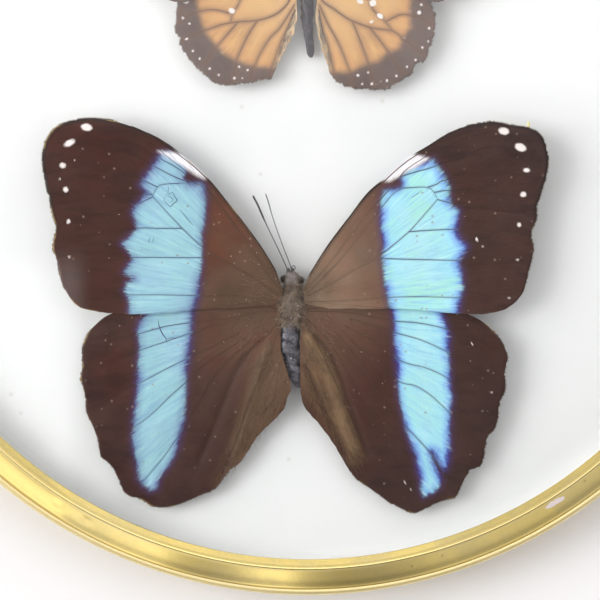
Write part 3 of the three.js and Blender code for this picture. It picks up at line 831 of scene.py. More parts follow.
def makeWing(name, wing, material, veinMaterial, fringeMaterial):
    # a thin closed sheet. Its top is a ruled surface, place = root + u x (edge - root), with u from
    # 0 on the short root line to 1 on the frayed outline
    rng = np.random.default_rng(wing["seed"])
    edge = smoothLine(wing["outline"], wing["columns"])
    fray = ripple(edge, 2.3, wing["seed"] + 5) * wing["fray"]
    fray = fray + ripple(edge, 0.9, wing["seed"] + 6) * wing["fray"] * 0.5
    leading = np.linspace(0, 1, len(edge))
    outward = np.gradient(edge, axis=0)[:, ::-1] * [-1, 1]
    outward /= np.linalg.norm(outward, axis=1, keepdims=True)
    edge = edge + outward * (fray * np.clip((leading - 0.22) * 8, 0.15, 1))[:, None]
    wing["edge"] = edge
    a, b = (np.array(p, float) for p in wing["rootLine"])
    root = a + leading[:, None] * (b - a)
    u = np.linspace(0, 1, wing["rows"])[:, None, None] ** 0.9
    plan = (root + u * (edge - root)).reshape(-1, 2)
    z, near, margin = wingSurface(plan, wing)
    top = intoFrame(plan, z, wing)
    bottom = top - [0, 0, wing["thickness"]]
    rows, columns = wing["rows"], wing["columns"]
    cells = gridFaces(rows, columns)
    count = rows * columns
    grid = np.arange(count).reshape(rows, columns)
    border = np.r_[grid[0, :-1], grid[:-1, -1], grid[-1, :0:-1], grid[:0:-1, 0]]
    following = np.roll(border, -1)
    wall = np.stack([border, border + count, following + count, following], -1)
    faces = np.vstack([cells, cells[:, ::-1] + count, wall])
    if wing["side"] < 0:
        faces = faces[:, ::-1]
    made = makeObject(name + "_scales", np.vstack([top, bottom]), faces, material)
    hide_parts(name)

    # wingFlow runs along the edge and out from the root, and its third number tells wings apart
    flow = np.broadcast_arrays(leading[None, :] * flowSpan[0], u[:, :, 0] * flowSpan[1], 0.0)
    flow = np.stack(flow, -1).reshape(-1, 3)
    values = {
        "wingFlow": flow + [0, 0, wing["seed"]],
        "rootDistance": np.hypot(*(plan - a).T),
        "veinDistance": near,
        "marginDistance": margin,
        "bandDistance": depthIn(plan, wing["band"]),
        "spotDistance": spotDepth(plan, wing["spots"]),
        "patchDistance": depthIn(plan, wing["patch"]),
        "tanDistance": depthIn(plan, wing["tan"]),
        "foldDistance": lineDistance(plan, wing["folds"]),
        "ridgeDistance": lineDistance(plan, wing["ridges"]),
    }
    for key, value in values.items():
        addAttribute(made, key, np.concatenate([value, value]))
    makeVeins(name, wing, veinMaterial)
    makeFringe(name, wing, fringeMaterial, rng)


def spotDepth(xy, spots):
    # how deep a point lies in the nearest oval spot: (1 - its distance in half axes) x the half
    # width. A spot is [across, along, half length, half width, turn in degrees]
    depth = np.full(len(xy), -9.0)
    for across, along, long, short, turn in spots:
        t = math.radians(turn)
        d = xy - [across, along]
        p = d @ [math.cos(t), math.sin(t)] / long
        q = d @ [-math.sin(t), math.cos(t)] / short
        depth = np.maximum(depth, (1 - np.hypot(p, q)) * short)
    return depth


def onWing(line, wing, lift):
    # lays an [across, along] line on the wing's top
    z, _, _ = wingSurface(line, wing)
    return intoFrame(line, z + lift, wing)


def makeVeins(name, wing, material):
    # half-sunk rods along the vein lines, thinner towards the margin, and finer ones for scratches
    paths, widths, heights = [], [], []
    rings = 48
    for vein, line in wing["veins"].items():
        paths.append(onWing(smoothLine(line, rings), wing, 0.0))
        taper = np.linspace(1, 0.35, rings) if len(line) > 3 else np.full(rings, 0.6)
        widths.append(wing["veinWidth"] * veinSizes.get(vein, veinSizes["other"]) * taper)
        heights.append(widths[-1] * 0.6)
    for line, half in wing["scratches"]:
        paths.append(onWing(smoothLine(line, rings), wing, 0.02))
        widths.append(np.full(rings, half) * np.sin(np.linspace(0.25, np.pi - 0.25, rings)))
        heights.append(widths[-1] * 0.6)
    points, faces = barsAlong(np.array(paths), np.array(widths), np.array(heights), 8)
    made = makeObject(name + "_veins", points, faces, material)
    xy = (points[:, :2] - wing["centre"]) * [wing["side"], 1]
    addAttribute(made, "bandDistance", depthIn(xy, wing["band"]))
    addAttribute(made, "rootDistance", np.hypot(*(xy - wing["rootLine"][0]).T))
    addAttribute(made, "spotDistance", spotDepth(xy, wing["spots"]))


def makeFringe(name, wing, material, rng):
    # short flat hairs along the outer margin, pointing outwards
    count = wing["fringe"]
    low, high = wing["fringeFrom"], wing["fringeTo"]
    at = rng.uniform(low, high, count) * (len(wing["edge"]) - 1)
    i = at.astype(int)
    edge = wing["edge"]
    here = edge[i] + (edge[np.minimum(i + 1, len(edge) - 1)] - edge[i]) * (at - i)[:, None]
    step = np.gradient(edge, axis=0)[i]
    out = np.stack([-step[:, 1], step[:, 0]], -1)
    out /= np.linalg.norm(out, axis=1, keepdims=True)
    out = out + rng.normal(0, 0.25, (count, 1)) * np.stack([-out[:, 1], out[:, 0]], -1)
    length = rng.uniform(0.25, 0.62, count) * wing["fringeLength"]
    t = np.linspace(-0.5, 1, 3)
    xy = here[:, None] + out[:, None] * (length[:, None] * t)[..., None]
    z, _, _ = wingSurface(here, wing)
    z = z[:, None] - 0.06 + rng.uniform(-0.06, 0.05, count)[:, None] * (1 + t)
    paths = intoFrame(xy, z, wing)
    width = np.array([0.08, 0.075, 0.02]) * np.ones((count, 1))
    points, faces = barsAlong(paths, width, width * 0.35, 4)
    made = makeObject(name + "_fringe", points, faces, material)


wingDefaults = {
    "columns": 420, "rows": 90, "thickness": 0.14, "veinWidth": 0.13, "patch": None, "tan": None,
    "folds": [], "ridges": [], "fray": 0.06, "scratches": [], "spots": [],
    "fringe": 420, "fringeFrom": 0.3, "fringeTo": 0.8, "fringeLength": 0.55,
}

blueFore = dict(
    wingDefaults, kind="forewing", centre=blueCentre, heights=blueHeights, fringeFrom=0.33, fringeTo=0.68)
blueHind = dict(
    wingDefaults, kind="hindwing", centre=blueCentre, heights=blueHeights, fringeFrom=0.3, fringeTo=0.8)
orangeWing = dict(
    wingDefaults, centre=orangeCentre, heights=orangeHeights, columns=320, rows=70, fringe=360)
orangeHind = dict(
    orangeWing, kind="hindwing", rootLine=[(2.6, -2.4), (2.3, -8.3)], fray=0.17, veinWidth=0.17,
    fringeFrom=0.25, fringeTo=0.8)

blueLeftFore = dict(
    blueFore, side=-1, seed=11, rootLine=[(1.9, 2.1), (2, 0)],
    outline=[
        (3.4, 6.6), (6.4, 11.5), (9.8, 16.2), (13.6, 21.1), (17.4, 25.7), (22.2, 30.2), (26.9, 33.8),
        (32.1, 36.3), (37.4, 38), (41.6, 38.6), (45.2, 38.2), (48.6, 37.3), (51, 35.2), (52, 32.7),
        (52.4, 29.8), (51.9, 25.5), (50.9, 21.3), (50.5, 18.5), (49.7, 15.8), (50.4, 11.5), (49.4, 8.1),
        (48.8, 4.7), (47.3, 1.3), (45.2, -1.1), (41.4, -2.2), (35, -2.8), (27.1, -2.6), (19.6, -1.9),
        (11.1, -1.5), (3.6, -0.9)],
    band=[
        (27.9, 31.5), (28.9, 29.8), (30, 28.1), (30.7, 27.2), (31.5, 26), (32.2, 24.5), (31.1, 23),
        (32.2, 21.3), (33.3, 20.3), (33.9, 18.8), (33.1, 16.7), (32.9, 15.4), (34.4, 13.7), (36.1, 12.2),
        (34.8, 10.7), (34, 9), (35.1, 7.1), (35.7, 6), (33.8, 4.7), (35.1, 3.7), (35.7, 2.2), (34.9, 0.9),
        (34.5, -0.4), (34.9, -3.5), (20.6, -3.5), (20, -0.4), (19.5, 1.1), (19.3, 4.3), (18.9, 8.1),
        (18.9, 13.9), (18.2, 17.1), (18, 20.3), (18, 22.4), (18.2, 24.3), (19, 25.4), (21.8, 25.2),
        (22.8, 26), (22.2, 27), (21.8, 28.6), (22.4, 30), (25.8, 31.9)],
    patch=[(28.2, 31.7), (25.8, 31.6), (23.4, 31.4), (20.1, 29.4), (17.3, 26.4), (18.3, 25.7),
        (20.3, 26.6), (22.6, 28.2), (25.4, 29.8)],
    spots=[
        (43.1, 36.7, 1.2, 0.8, 8), (46.7, 33.4, 1.35, 0.66, -28), (48.2, 28.7, 0.72, 0.64, 0),
        (48.9, 25.8, 0.28, 0.45, 0), (47.6, 23.6, 0.6, 0.66, 0), (47.1, 16.9, 0.42, 0.62, 20),
        (47, 9.4, 0.32, 0.36, 0), (45.7, 29.8, 0.2, 0.22, 0)],
    veins={
        "costa": [(2.3, 2.6), (4.2, 7.2), (7.4, 12.3), (11, 17.3), (14.8, 22), (17.9, 25.8),
            (21.5, 29.2), (25.8, 32.3), (30, 34.7), (36.3, 37.1), (41.6, 38)],
        "subcosta": [(1.7, 2.2), (6.3, 8.1), (11, 14.5), (14.8, 19.6), (18, 23.9), (22, 27.2),
            (25.3, 29.8), (30, 33.4), (36.3, 35.5)],
        "radius": [(1.7, 0.9), (6.3, 7.3), (9.9, 12.8), (13.9, 18.8), (18, 23.4), (20.3, 24.9), (23.7, 24.9)],
        "radiusTwo": [(20.3, 24.9), (24.1, 28.1), (27.9, 30.2), (33.2, 33.4), (38.4, 35.7), (44.8, 37)],
        "radiusThree": [(21.6, 25), (25.4, 26.6), (29, 28.5), (36.3, 31.9), (49, 34)],
        "medianOne": [(28.3, 24.1), (33.2, 26.4), (38.5, 28.7), (44.8, 28.5), (51.6, 26.6)],
        "medianTwo": [(29.4, 22.6), (34.3, 22.6), (38.5, 22.4), (44.9, 21.3), (50.7, 20.3)],
        "medianThree": [(29.4, 22), (34.3, 19.8), (40.7, 18.1), (46, 16.9), (49.9, 15.8)],
        "cubitus": [(1.7, 0.4), (5.7, 3.2), (9.9, 6), (14.2, 8.4), (18, 10.7), (21, 13.3), (23.7, 16),
            (26.7, 19.2), (29.4, 22.2)],
        "cellEnd": [(23.7, 24.9), (26.9, 24.7), (28.3, 24.1), (29.4, 22.2)],
        "branchOne": [(23.3, 15.4), (28, 15.4), (32.9, 15.4), (41.8, 14.1), (49.9, 12.8)],
        "branchTwo": [(17, 9.8), (18.9, 9.2), (25.9, 9.2), (34, 9.2), (41.9, 8.6), (49.3, 8.1)],
        "anal": [(1.7, -0.2), (6.8, 0.2), (11, 0.9), (19.5, 1.1), (28.1, 1.3), (34.9, 1.3),
            (41.9, 1.5), (47.2, 1.7)],
    },
    scratches=[
        ([(26.8, 22.6), (26, 22.5), (25.2, 23), (24.6, 22.0), (24.2, 21.3), (25, 20.6), (25.6, 20),
            (26.4, 20.7), (27, 21.4), (26.6, 22.3)], 0.08),
        ([(26.4, 22.2), (25.6, 22), (25.1, 21.4), (25.7, 20.8)], 0.06), ([(26.1, 22.7), (26, 24.3)], 0.05),
        ([(23.6, 19.4), (22.2, 17.6), (20.8, 16)], 0.06), ([(30, 13.5), (30.3, 12.2)], 0.05),
        ([(29.2, 13.4), (29.4, 12.4)], 0.05)],
)

blueRightFore = dict(
    blueFore, side=1, seed=23, rootLine=[(2.3, 2.1), (2.8, -0.6)],
    outline=[
        (3.8, 5.8), (6, 9.4), (8.7, 13.4), (12.3, 18.1), (15.9, 22.8), (19.5, 26), (23.9, 29.9), (28.8, 32.9),
        (33.4, 35.7), (37.6, 37.2), (42.3, 37.8), (46.5, 37.1), (50.5, 36.3), (52.6, 34.6), (53.7, 31.4),
        (53.8, 28.5), (52.8, 23.8), (51.7, 20.5), (51.6, 17.5), (50.5, 14.7), (51, 10.7), (50, 6.4),
        (49, 2.2), (46.6, -0.8), (43.5, -2.3), (37.9, -2.8), (31.5, -2.3), (24.1, -1.7), (16.6, -1.7),
        (8.1, -1.7)],
    band=[
        (29.9, 30.2), (31.4, 28.1), (32.7, 26), (33.5, 24.1), (33.3, 22.4), (34, 20.3), (35.5, 19.2),
        (35.3, 16.7), (35.1, 15), (35.9, 13.3), (37.4, 11.6), (36.4, 9.6), (35.6, 8.2), (36.2, 6.4),
        (36.4, 4.3), (36.4, 2.2), (36, 0), (35.4, -3.5), (20.9, -3.5), (20.3, 0), (19.6, 3.2), (19.4, 6.4),
        (19, 9), (19.2, 11.8), (18.7, 15), (18.5, 18.1), (18.7, 21.3), (19.3, 23.4), (20.4, 23.8),
        (23.1, 24.2), (22.8, 26.1), (24, 27.7), (27.1, 29.4)],
    patch=[(18.6, 25.4), (20.6, 28), (24, 31.4), (26.7, 31), (29, 30.2), (27, 28.6), (24.4, 27.4),
        (22.6, 26.2), (20.8, 25.3)],
    spots=[
        (44.6, 35.9, 1.2, 0.8, -14), (48.1, 32.5, 1.3, 0.85, -25), (49.4, 27.7, 0.75, 0.5, -10),
        (48.8, 22.6, 0.66, 0.62, 0), (48, 16.2, 0.45, 0.56, 20), (47.7, 8.8, 0.34, 0.3, 0),
        (46, 0.7, 0.32, 0.26, 0), (39.1, 13.1, 0.3, 0.62, 15), (40.4, 11.6, 0.24, 0.36, 0)],
    veins={
        "costa": [(2.7, 2.4), (4.3, 5.8), (7.4, 10.6), (11.3, 16), (15.5, 21.4), (19.5, 25.3),
            (24, 29.3), (29.2, 32.5), (35.6, 35.7), (41.9, 37.1), (46, 36.7)],
        "subcosta": [(2.8, 2.2), (8.1, 8.1), (12.8, 14.5), (17, 19.6), (20.4, 23.4), (22.9, 26.4),
            (24, 27.7), (27.1, 29.8), (31.4, 32.3), (37.7, 34.8), (44, 36.1)],
        "radius": [(2.8, 1.3), (8.6, 6.9), (13.6, 12.8), (18.3, 18.8), (21.3, 22.6), (23.4, 23.9)],
        "radiusTwo": [(22.9, 26.3), (26.1, 27.3), (29.7, 28.3), (35.6, 30.6), (43, 32.7), (51.4, 31.9)],
        "medianOne": [(28.7, 24.1), (30.6, 24.7), (32.5, 25.6), (42, 26.8), (53.2, 26.6)],
        "medianTwo": [(30.1, 23), (33.3, 23.4), (42, 22.8), (52.2, 22)],
        "medianThree": [(30.8, 21.5), (34, 20.7), (42, 19.4), (51.4, 18.2)],
        "cubitus": [(2.8, 0.7), (7.1, 3), (11.3, 5.4), (14.9, 7.5), (18.3, 9.4), (21.9, 12.2),
            (25.1, 15), (28.3, 18.6), (30.8, 21.5)],
        "cellEnd": [(23.4, 23.9), (28.2, 24.1), (29.7, 23.4), (30.8, 21.5)],
        "branchOne": [(24.7, 14.7), (29.3, 15), (35.3, 15.2), (43.1, 14.8), (50.8, 13.9)],
        "branchTwo": [(18.8, 9), (27.3, 8.8), (35.8, 8.6), (43.2, 8.4), (50.6, 8.2)],
        "anal": [(2.8, -0.3), (11.3, 0), (19.9, 0.7), (27.3, 0.9), (35.8, 0.7), (43.3, 1.1), (48.6, 1.8)],
    },
    scratches=[([(27.6, 23.6), (26.4, 22.6), (25.2, 21.8)], 0.05), ([(9, 4.6), (14, 7.6)], 0.04)],
)

blueLeftHind = dict(
    blueHind, side=-1, seed=37, rootLine=[(2.1, 0.4), (2.4, -11)],
    outline=[
        (4.4, 0.9), (8, 0.9), (15.3, 1.1), (24.9, 0.8), (32.4, -0.7), (38.8, -3), (42.2, -5.6),
        (44, -8.2), (44.6, -10.7), (44.5, -13.8), (45, -16.8), (44.1, -20), (43.8, -24.3),
        (42.5, -26.9), (41.4, -30.2), (41, -33.2), (38.7, -35.8), (37.2, -38.6), (35.7, -41.7),
        (32.5, -43), (29.9, -44.7), (26.3, -44.7), (22, -43.2), (19.2, -41.9), (16.3, -40.4),
        (13.5, -36.9), (10.5, -34.3), (7.5, -29.5), (4.4, -26.4), (1.7, -23.4), (1, -20.9),
        (0.1, -18.6), (0.8, -16), (1.7, -13.5)],
    band=[
        (30.3, 2), (30.7, -2.6), (32.5, -4.4), (33.1, -6.5), (32.5, -9.7), (32.9, -13), (33.2, -18.4),
        (33.9, -23.8), (34.4, -30.3), (33.4, -35.7), (33.1, -38.6), (32.1, -40.1), (30.6, -41.4),
        (28.9, -40.9), (28, -37.9), (26.2, -35.7), (24.5, -32.4), (22.9, -25.9), (22.5, -19.4), (22.2, -15.1),
        (21.4, -10.8), (21.1, -6.5), (20.7, -2.6), (20.5, 2)],
    tan=[(1.2, -8), (5.4, -10.7), (8.6, -17), (12.3, -29.2), (16.2, -40.1), (14.4, -41.7),
        (9.6, -37.2), (5.4, -31.4), (1.5, -23.8), (0.2, -18.3)],
    folds=[[(6.4, -8.6), (9.4, -11.4), (11.7, -14.7), (13.7, -19.4), (16.5, -27), (19.8, -34.6)],
           [(9, -21.6), (12, -30.3), (15.5, -39)]],
    ridges=[[(5, -10), (7, -16), (9.4, -24), (12.6, -33)]],
    veins={
        "subcosta": [(3.2, -1.9), (8.9, -0.9), (19.6, -1.1), (28.2, -2), (36.7, -3.9), (42.1, -5.8)],
        "radius": [(3.2, -2.4), (7.9, -2.6), (13.2, -3.9), (21.8, -4.8), (27.1, -5.6), (32.5, -7.1),
            (38.9, -8.7), (44.2, -9.9)],
        "medianOne": [(11.1, -3.9), (16.4, -5.4), (21.8, -7.1), (27.1, -8.9), (32.1, -10.6),
            (38.9, -13.4), (44.5, -16)],
        "medianTwo": [(11.1, -6.9), (16.4, -9.7), (22.4, -12.5), (27.2, -14.9), (32.5, -17.7),
            (39, -20.7), (43.6, -23.3)],
        "medianThree": [(10, -8.2), (14.9, -11.2), (18.6, -13.8), (21.8, -16.8), (26.1, -20.7),
            (30.5, -24.9), (36.9, -29.4), (41, -32.3)],
        "cubitus": [(8.9, -8.6), (13.7, -13), (17.1, -16.8), (19.7, -21.6), (22.9, -27), (27.3, -33.5),
            (32.7, -40.1)],
        "branchTwo": [(3, -4.3), (4.4, -6.5), (6.4, -8.6), (9.4, -11.4), (11.7, -14.7), (13.7, -19.4),
            (16.5, -27), (19.8, -34.6), (24.1, -42.3)],
        "cell": [(11.1, -3.9), (12.8, -6.5), (10, -8.2)],
        "anal": [(2.9, -5.4), (4, -9.7), (6.4, -15.1), (9, -21.6), (12, -30.3), (15.5, -39)],
    },
    scratches=[([(28.4, -4.2), (28.2, -5.6), (27.5, -7.2), (26.9, -8), (26.5, -9.1)], 0.12),
               ([(27, -8.3), (25.6, -8), (24.6, -8.2)], 0.06)],
    spots=[(36.6, -5.4, 0.1, 0.3, 10)],
)

blueRightHind = dict(
    blueHind, side=1, seed=41, rootLine=[(2.1, 0.4), (1.7, -10)],
    outline=[
        (4.4, 0.7), (8, 0.6), (15.5, 0.6), (24.1, 0.4), (31.5, -0.8), (37.9, -3), (41.6, -5.3),
        (44.2, -8.1), (45.9, -11.8), (45.3, -15.2), (45.5, -18.7), (44.3, -22.1), (43.7, -26.7),
        (41.8, -29.5), (41.2, -32.7), (40.5, -35.5), (38.2, -36.6), (36.7, -39.2), (35, -42.5),
        (31.8, -43.4), (28.6, -45.1), (25.8, -46), (22.8, -44.7), (20, -43), (17, -40.8),
        (14.2, -38.8), (11.8, -35.8), (8.6, -30.4), (5.6, -26.4), (2.9, -23.2), (1.9, -19.8),
        (1.9, -16.5), (1.8, -13)],
    band=[
        (31.6, 2), (32.1, -2.4), (33.2, -5.4), (33.8, -7.6), (33.6, -10.8), (33.9, -15.1), (34.1, -19.4),
        (34.5, -20.5), (34.1, -23.7), (34, -28.1), (34.2, -32.4), (33.8, -35.2), (33.4, -36.5), (32.5, -37),
        (31, -34.8), (30, -32.8), (31, -35.6), (32, -37.6), (32.3, -38.9), (31.9, -40.5), (30.2, -41.8),
        (28.2, -42.7), (27.6, -41.1), (27.4, -38.9), (26.9, -36.8), (26.3, -33.5), (25, -30.2), (24.3, -28.1),
        (23.6, -24.8), (23, -21.6), (22.5, -18.3), (22.3, -15.1), (21.9, -11.9), (21.6, -8.6), (21.6, -5.4),
        (21.2, -2.2), (21, 2)],
    tan=[(3.5, -6.5), (5.6, -8.6), (8.2, -13.4), (10.3, -19.4), (12.9, -27), (15.1, -33.5),
        (12.9, -35), (9.9, -30.3), (6.5, -24.8), (3.5, -20.5), (2, -17.3)],
    folds=[[(5, -7.4), (8.3, -12), (10.4, -16.5), (12, -21.5), (14.3, -28), (16.3, -33.6)],
           [(2.8, -14), (5, -19), (8, -26), (11.4, -33.2)]],
    ridges=[[(3.9, -8.2), (5.8, -11.2), (7.5, -15.1), (9, -19.4), (10.9, -25.5), (13.1, -31.8)]],
    veins={
        "subcosta": [(3.2, -1.9), (11.4, -1.3), (21.2, -1.3), (29.5, -2), (38.1, -3.9), (42.3, -6.2)],
        "radius": [(3.2, -2.4), (11.4, -2.6), (21.2, -4.3), (27, -4.8), (32.7, -6), (39.2, -8.2),
            (44.8, -11.6)],
        "medianOne": [(12.4, -3.9), (17.8, -5.4), (22.1, -6.9), (27.4, -8.4), (33.2, -11),
            (39.2, -14.7), (44.8, -18.3)],
        "medianTwo": [(11.4, -5.4), (17.1, -8.6), (23.2, -12.9), (28.5, -14.4), (33.2, -16.6),
            (39.3, -20.7), (43.8, -24.2)],
        "medianThree": [(10.7, -6.5), (16.7, -12.5), (22.7, -17.3), (26.4, -18.3), (29.6, -20.3),
            (33.1, -23.5), (37.2, -27.6), (40.9, -32.4)],
        "cubitus": [(9.9, -7.3), (15, -14.2), (20, -22), (24.3, -27), (29.3, -32.4), (32.5, -37.2),
            (34.6, -41.1)],
        "branchTwo": [(3, -3.9), (7.1, -7.8), (10.7, -13.4), (15, -21.6), (20, -30.2), (25.4, -38.9),
            (28.8, -44.4)],
        "anal": [(3, -4.8), (5.6, -9.7), (9, -16.8), (12.5, -24.8), (16.8, -33.5), (21.6, -41.1)],
        "cell": [(12.4, -3.9), (12.9, -5.6), (10.7, -6.5)],
    },
    scratches=[([(36.6, -22.9), (37.8, -23.4), (38.8, -24)], 0.05)],
    spots=[(38.3, -9.2, 0.12, 0.6, 20), (39.3, -9, 0.1, 0.3, -30), (42.6, -19.6, 0.3, 0.26, 0),
           (24.3, -39.3, 0.16, 0.7, 30), (25.6, -41, 0.14, 0.5, 25)],
)

orangeForeOutline = [
    (4.6, 7.6), (9.2, 14), (15, 19.2), (22, 23), (28.6, 25.2), (34, 25.6), (38.2, 24.2), (40.4, 21.4),
    (40.6, 17.8), (39.2, 13.4), (37.6, 9), (36, 4.4), (34, -0.2), (32, -4.6), (30, -8.2), (27.6, -9.9),
    (23.6, -9.2), (17.4, -6.4), (10.6, -3.8), (5.2, -1.9)]


def orangeForewing(side, seed):
    # a pair unseen but for its rear corners, after the usual pattern of the kind: a dark tip and
    # border with two rows of white dots, and thin dark veins
    border = smoothLine(orangeForeOutline[7:16], 22)
    inward = np.array([13.0, 4.0]) - border
    inward /= np.linalg.norm(inward, axis=1, keepdims=True)
    outerDots = border[1:-1] + inward[1:-1] * 1.2
    innerDots = (border[1:-1:2] + inward[1:-1:2] * 2.9)
    dots = [(x, y, 0.42, 0.42, 0) for x, y in [*outerDots, *innerDots]]
    tip = [(30.4, 21.6, 1.0, 0.7, 20), (33.2, 20.2, 0.9, 0.7, 0), (34.8, 17.2, 0.8, 0.6, -40),
           (31.2, 16.4, 0.9, 0.6, 0),
           (27.6, 20, 0.8, 0.6, 20), (32.4, 12.4, 0.8, 0.6, -30), (23, 0.5, 0.9, 0.7, 0),
           (27.4, 4.4, 0.8, 0.6, 0)]
    return dict(
        orangeWing, kind="forewing", side=side, seed=seed, rootLine=[(2.2, 2.6), (2.5, -0.9)],
        outline=orangeForeOutline, fray=0.12, veinWidth=0.18, fringeFrom=0.4, fringeTo=0.75,
        band=[(2, 2), (8.4, 11), (14, 16), (21, 19.6), (26.4, 20.4), (29.4, 18.4), (31.6, 14), (32.6, 9.6),
              (31.6, 4.6), (29.8, 0), (28, -4.6), (25.6, -7), (22, -7), (15, -4.2), (8, -2), (2, -0.6)],
        spots=dots + tip,
        veins={
            "costa": [(2.4, 3), (9.2, 13.5), (15, 18.7), (22, 22.5), (28.6, 24.7), (34, 25.1)],
            "radius": [(2.4, 1.6), (9, 9.4), (15, 14.8), (21, 17.6), (27, 20.6), (37.6, 23)],
            "cubitus": [(2.4, 0.4), (8, 2.6), (14, 4.6), (19.6, 7.4), (22.6, 11.4), (21, 17.6)],
            "medianOne": [(22.8, 13.6), (30, 16.4), (39.4, 18)],
            "medianTwo": [(22.6, 11.4), (30, 11.6), (38.4, 11.4)],
            "medianThree": [(21.4, 9.4), (28.6, 7.4), (36.4, 5.6)],
            "branchOne": [(17.4, 6.2), (25, 2.6), (33.4, -1.4)],
            "branchTwo": [(12, 3.9), (20, -0.6), (31, -6.4)],
            "anal": [(2.4, -0.2), (9, -1.4), (17, -3.8), (27, -8.8)],
        },
    )


orangeLeftHind = dict(
    orangeHind, side=-1, seed=53,
    outline=[
        (5.7, -1.4), (13, -2.3), (20.4, -4.4), (25.8, -7.7), (27.1, -10.2), (27.4, -13.1), (27.7, -15.2),
        (26.7, -17.7), (26.1, -19.8), (24.2, -21.9), (22.8, -24), (20.7, -25.4), (19, -26.9), (16.2, -27),
        (13.1, -26.6), (9.5, -26.1), (7.4, -25.4), (6.3, -23.1), (4.6, -19.8), (2.9, -16.2), (2.1, -12.7)],
    band=[
        (26, -6), (23.6, -9.7), (22.9, -12.9), (21.5, -16.6), (19.4, -19.1), (17.9, -20.8), (15.2, -22.3),
        (11.6, -23.5), (7.4, -23.9), (3, -22), (0, -15), (0, 0), (20, 0)],
    tan=[(2, -9.3), (3.4, -13.4), (5, -17.6), (6.6, -22), (7, -23.4), (5.6, -23.4), (3.6, -18.4), (1, -12)],
    spots=[
        (25.5, -9.7, 0.8, 0.5, 15), (26.1, -13.1, 0.35, 0.3, 0), (24.7, -14.3, 0.35, 0.3, 0),
        (25.3, -17.5, 0.38, 0.36, 0), (24, -20, 0.35, 0.35, 0), (22.6, -21.6, 0.3, 0.42, 0),
        (20.5, -23.7, 0.38, 0.34, 0), (18.6, -25, 0.3, 0.38, 0), (14.3, -23.3, 0.32, 0.36, 0),
        (12.5, -24, 0.32, 0.36, 0), (15.3, -25.7, 0.4, 0.32, 0), (13.6, -25.7, 0.28, 0.26, 0),
        (15.8, -11.6, 0.75, 0.6, 30)],
    veins={
        "cubitus": [(2.7, -6.8), (3.8, -9.7), (5.5, -11.6), (7.8, -12.9), (10.9, -13.7), (14.1, -13.9),
            (17.9, -14.5), (20.4, -15.4), (22.6, -16.2), (26.4, -18)],
        "radius": [(9, -3), (12.4, -5.1), (14.1, -9.7), (15.6, -12.2), (16, -13.9)],
        "branchOne": [(10.3, -13.5), (12, -16), (13.1, -18.1), (14.8, -21.9), (15.4, -26)],
        "branchTwo": [(14.5, -13.9), (16.6, -16.4), (19, -19.1), (21.6, -22.6)],
        "branchThree": [(2.6, -10.4), (5.7, -15.2), (7.8, -17.3), (10.3, -21.4), (12, -25.6)],
        "branchFour": [(2.4, -11.4), (4, -14.9), (5.7, -18.7), (7.2, -22.9), (7.8, -25)],
        "subcosta": [(3, -3), (12, -3.4), (19, -6), (24.6, -9.6), (26.8, -12)],
        "median": [(16, -12.2), (20, -11.4), (24.4, -12.4), (27, -14)],
    },
)

orangeRightHind = dict(
    orangeHind, side=1, seed=59,
    outline=[
        (5.9, -1.5), (13.2, -2.3), (19.9, -4.4), (25, -8.1), (26.3, -11), (26.9, -13.1), (26.7, -16),
        (25.9, -18.5), (25.1, -21.4), (22.8, -23.1), (21.1, -25.4), (18.4, -26.9), (16.7, -28.1),
        (12.9, -27.9), (9.1, -27.5), (6.5, -26.3), (5.1, -24.8), (4.2, -22.3), (3, -19.1),
        (2.2, -15.6), (2.1, -11.8)],
    band=[
        (25, -5), (22.2, -9.3), (21.9, -11.8), (22.2, -15.2), (20.5, -17.3), (19.7, -19.8), (17.1, -20.8),
        (15.4, -22.5), (12.3, -23.3), (9.1, -24.8), (4.8, -24.8), (1, -21), (0, -12), (0, 0), (20, 0)],
    tan=[(1.8, -9.3), (2.8, -13), (4, -18), (5, -22), (5.3, -24.4), (4, -23), (2.4, -18), (1, -12)],
    spots=[
        (24, -10.4, 0.36, 0.4, 0), (23.6, -12, 0.5, 0.5, 0), (25.7, -15.3, 0.38, 0.36, 0),
        (25.5, -18, 0.3, 0.3, 0), (24.3, -19.3, 0.34, 0.36, 0), (22.9, -21.9, 0.34, 0.36, 0),
        (21.1, -23.3, 0.3, 0.36, 0), (18.9, -25.2, 0.36, 0.38, 0), (16.9, -26.2, 0.3, 0.42, 0),
        (13.7, -26.9, 0.34, 0.4, 0), (11.7, -26.9, 0.36, 0.3, 0), (10.8, -25.1, 0.42, 0.38, 0),
        (12.9, -24.5, 0.32, 0.3, 0), (15.6, -26.4, 0.24, 0.22, 0), (11.2, -9.7, 0.85, 0.55, -20),
        (13.9, -10, 0.75, 0.75, 0), (15.4, -12.7, 0.75, 0.6, -30), (13.6, -13.9, 0.6, 0.35, 30)],
    veins={
        "cubitus": [(2.7, -6.8), (3, -9.3), (5.9, -11.4), (9.1, -13.5), (13.7, -15.2), (18, -15.8),
            (20.3, -17.5), (24.6, -20.8)],
        "radius": [(9, -3), (12.2, -6.2), (13.7, -11), (16.5, -13.9), (18, -15.8)],
        "branchOne": [(9.5, -13.7), (10.8, -16.8), (12.1, -20.2), (13.3, -23.5), (14, -27)],
        "branchTwo": [(13.3, -15.2), (15, -17.3), (16.9, -19.8), (18, -21.4), (20.4, -25)],
        "branchThree": [(2.6, -10.4), (4.4, -14.3), (6.8, -18.7), (9.1, -24.4), (9.6, -27)],
        "branchFour": [(2.5, -11.4), (3.2, -15.2), (4.7, -19.8), (5.7, -24.4)],
        "subcosta": [(3, -3), (12, -3.4), (19, -6), (24, -9.8), (26, -12)],
        "median": [(16.5, -13.9), (20, -12.4), (24, -13.2), (26.4, -14.6)],
    },
)


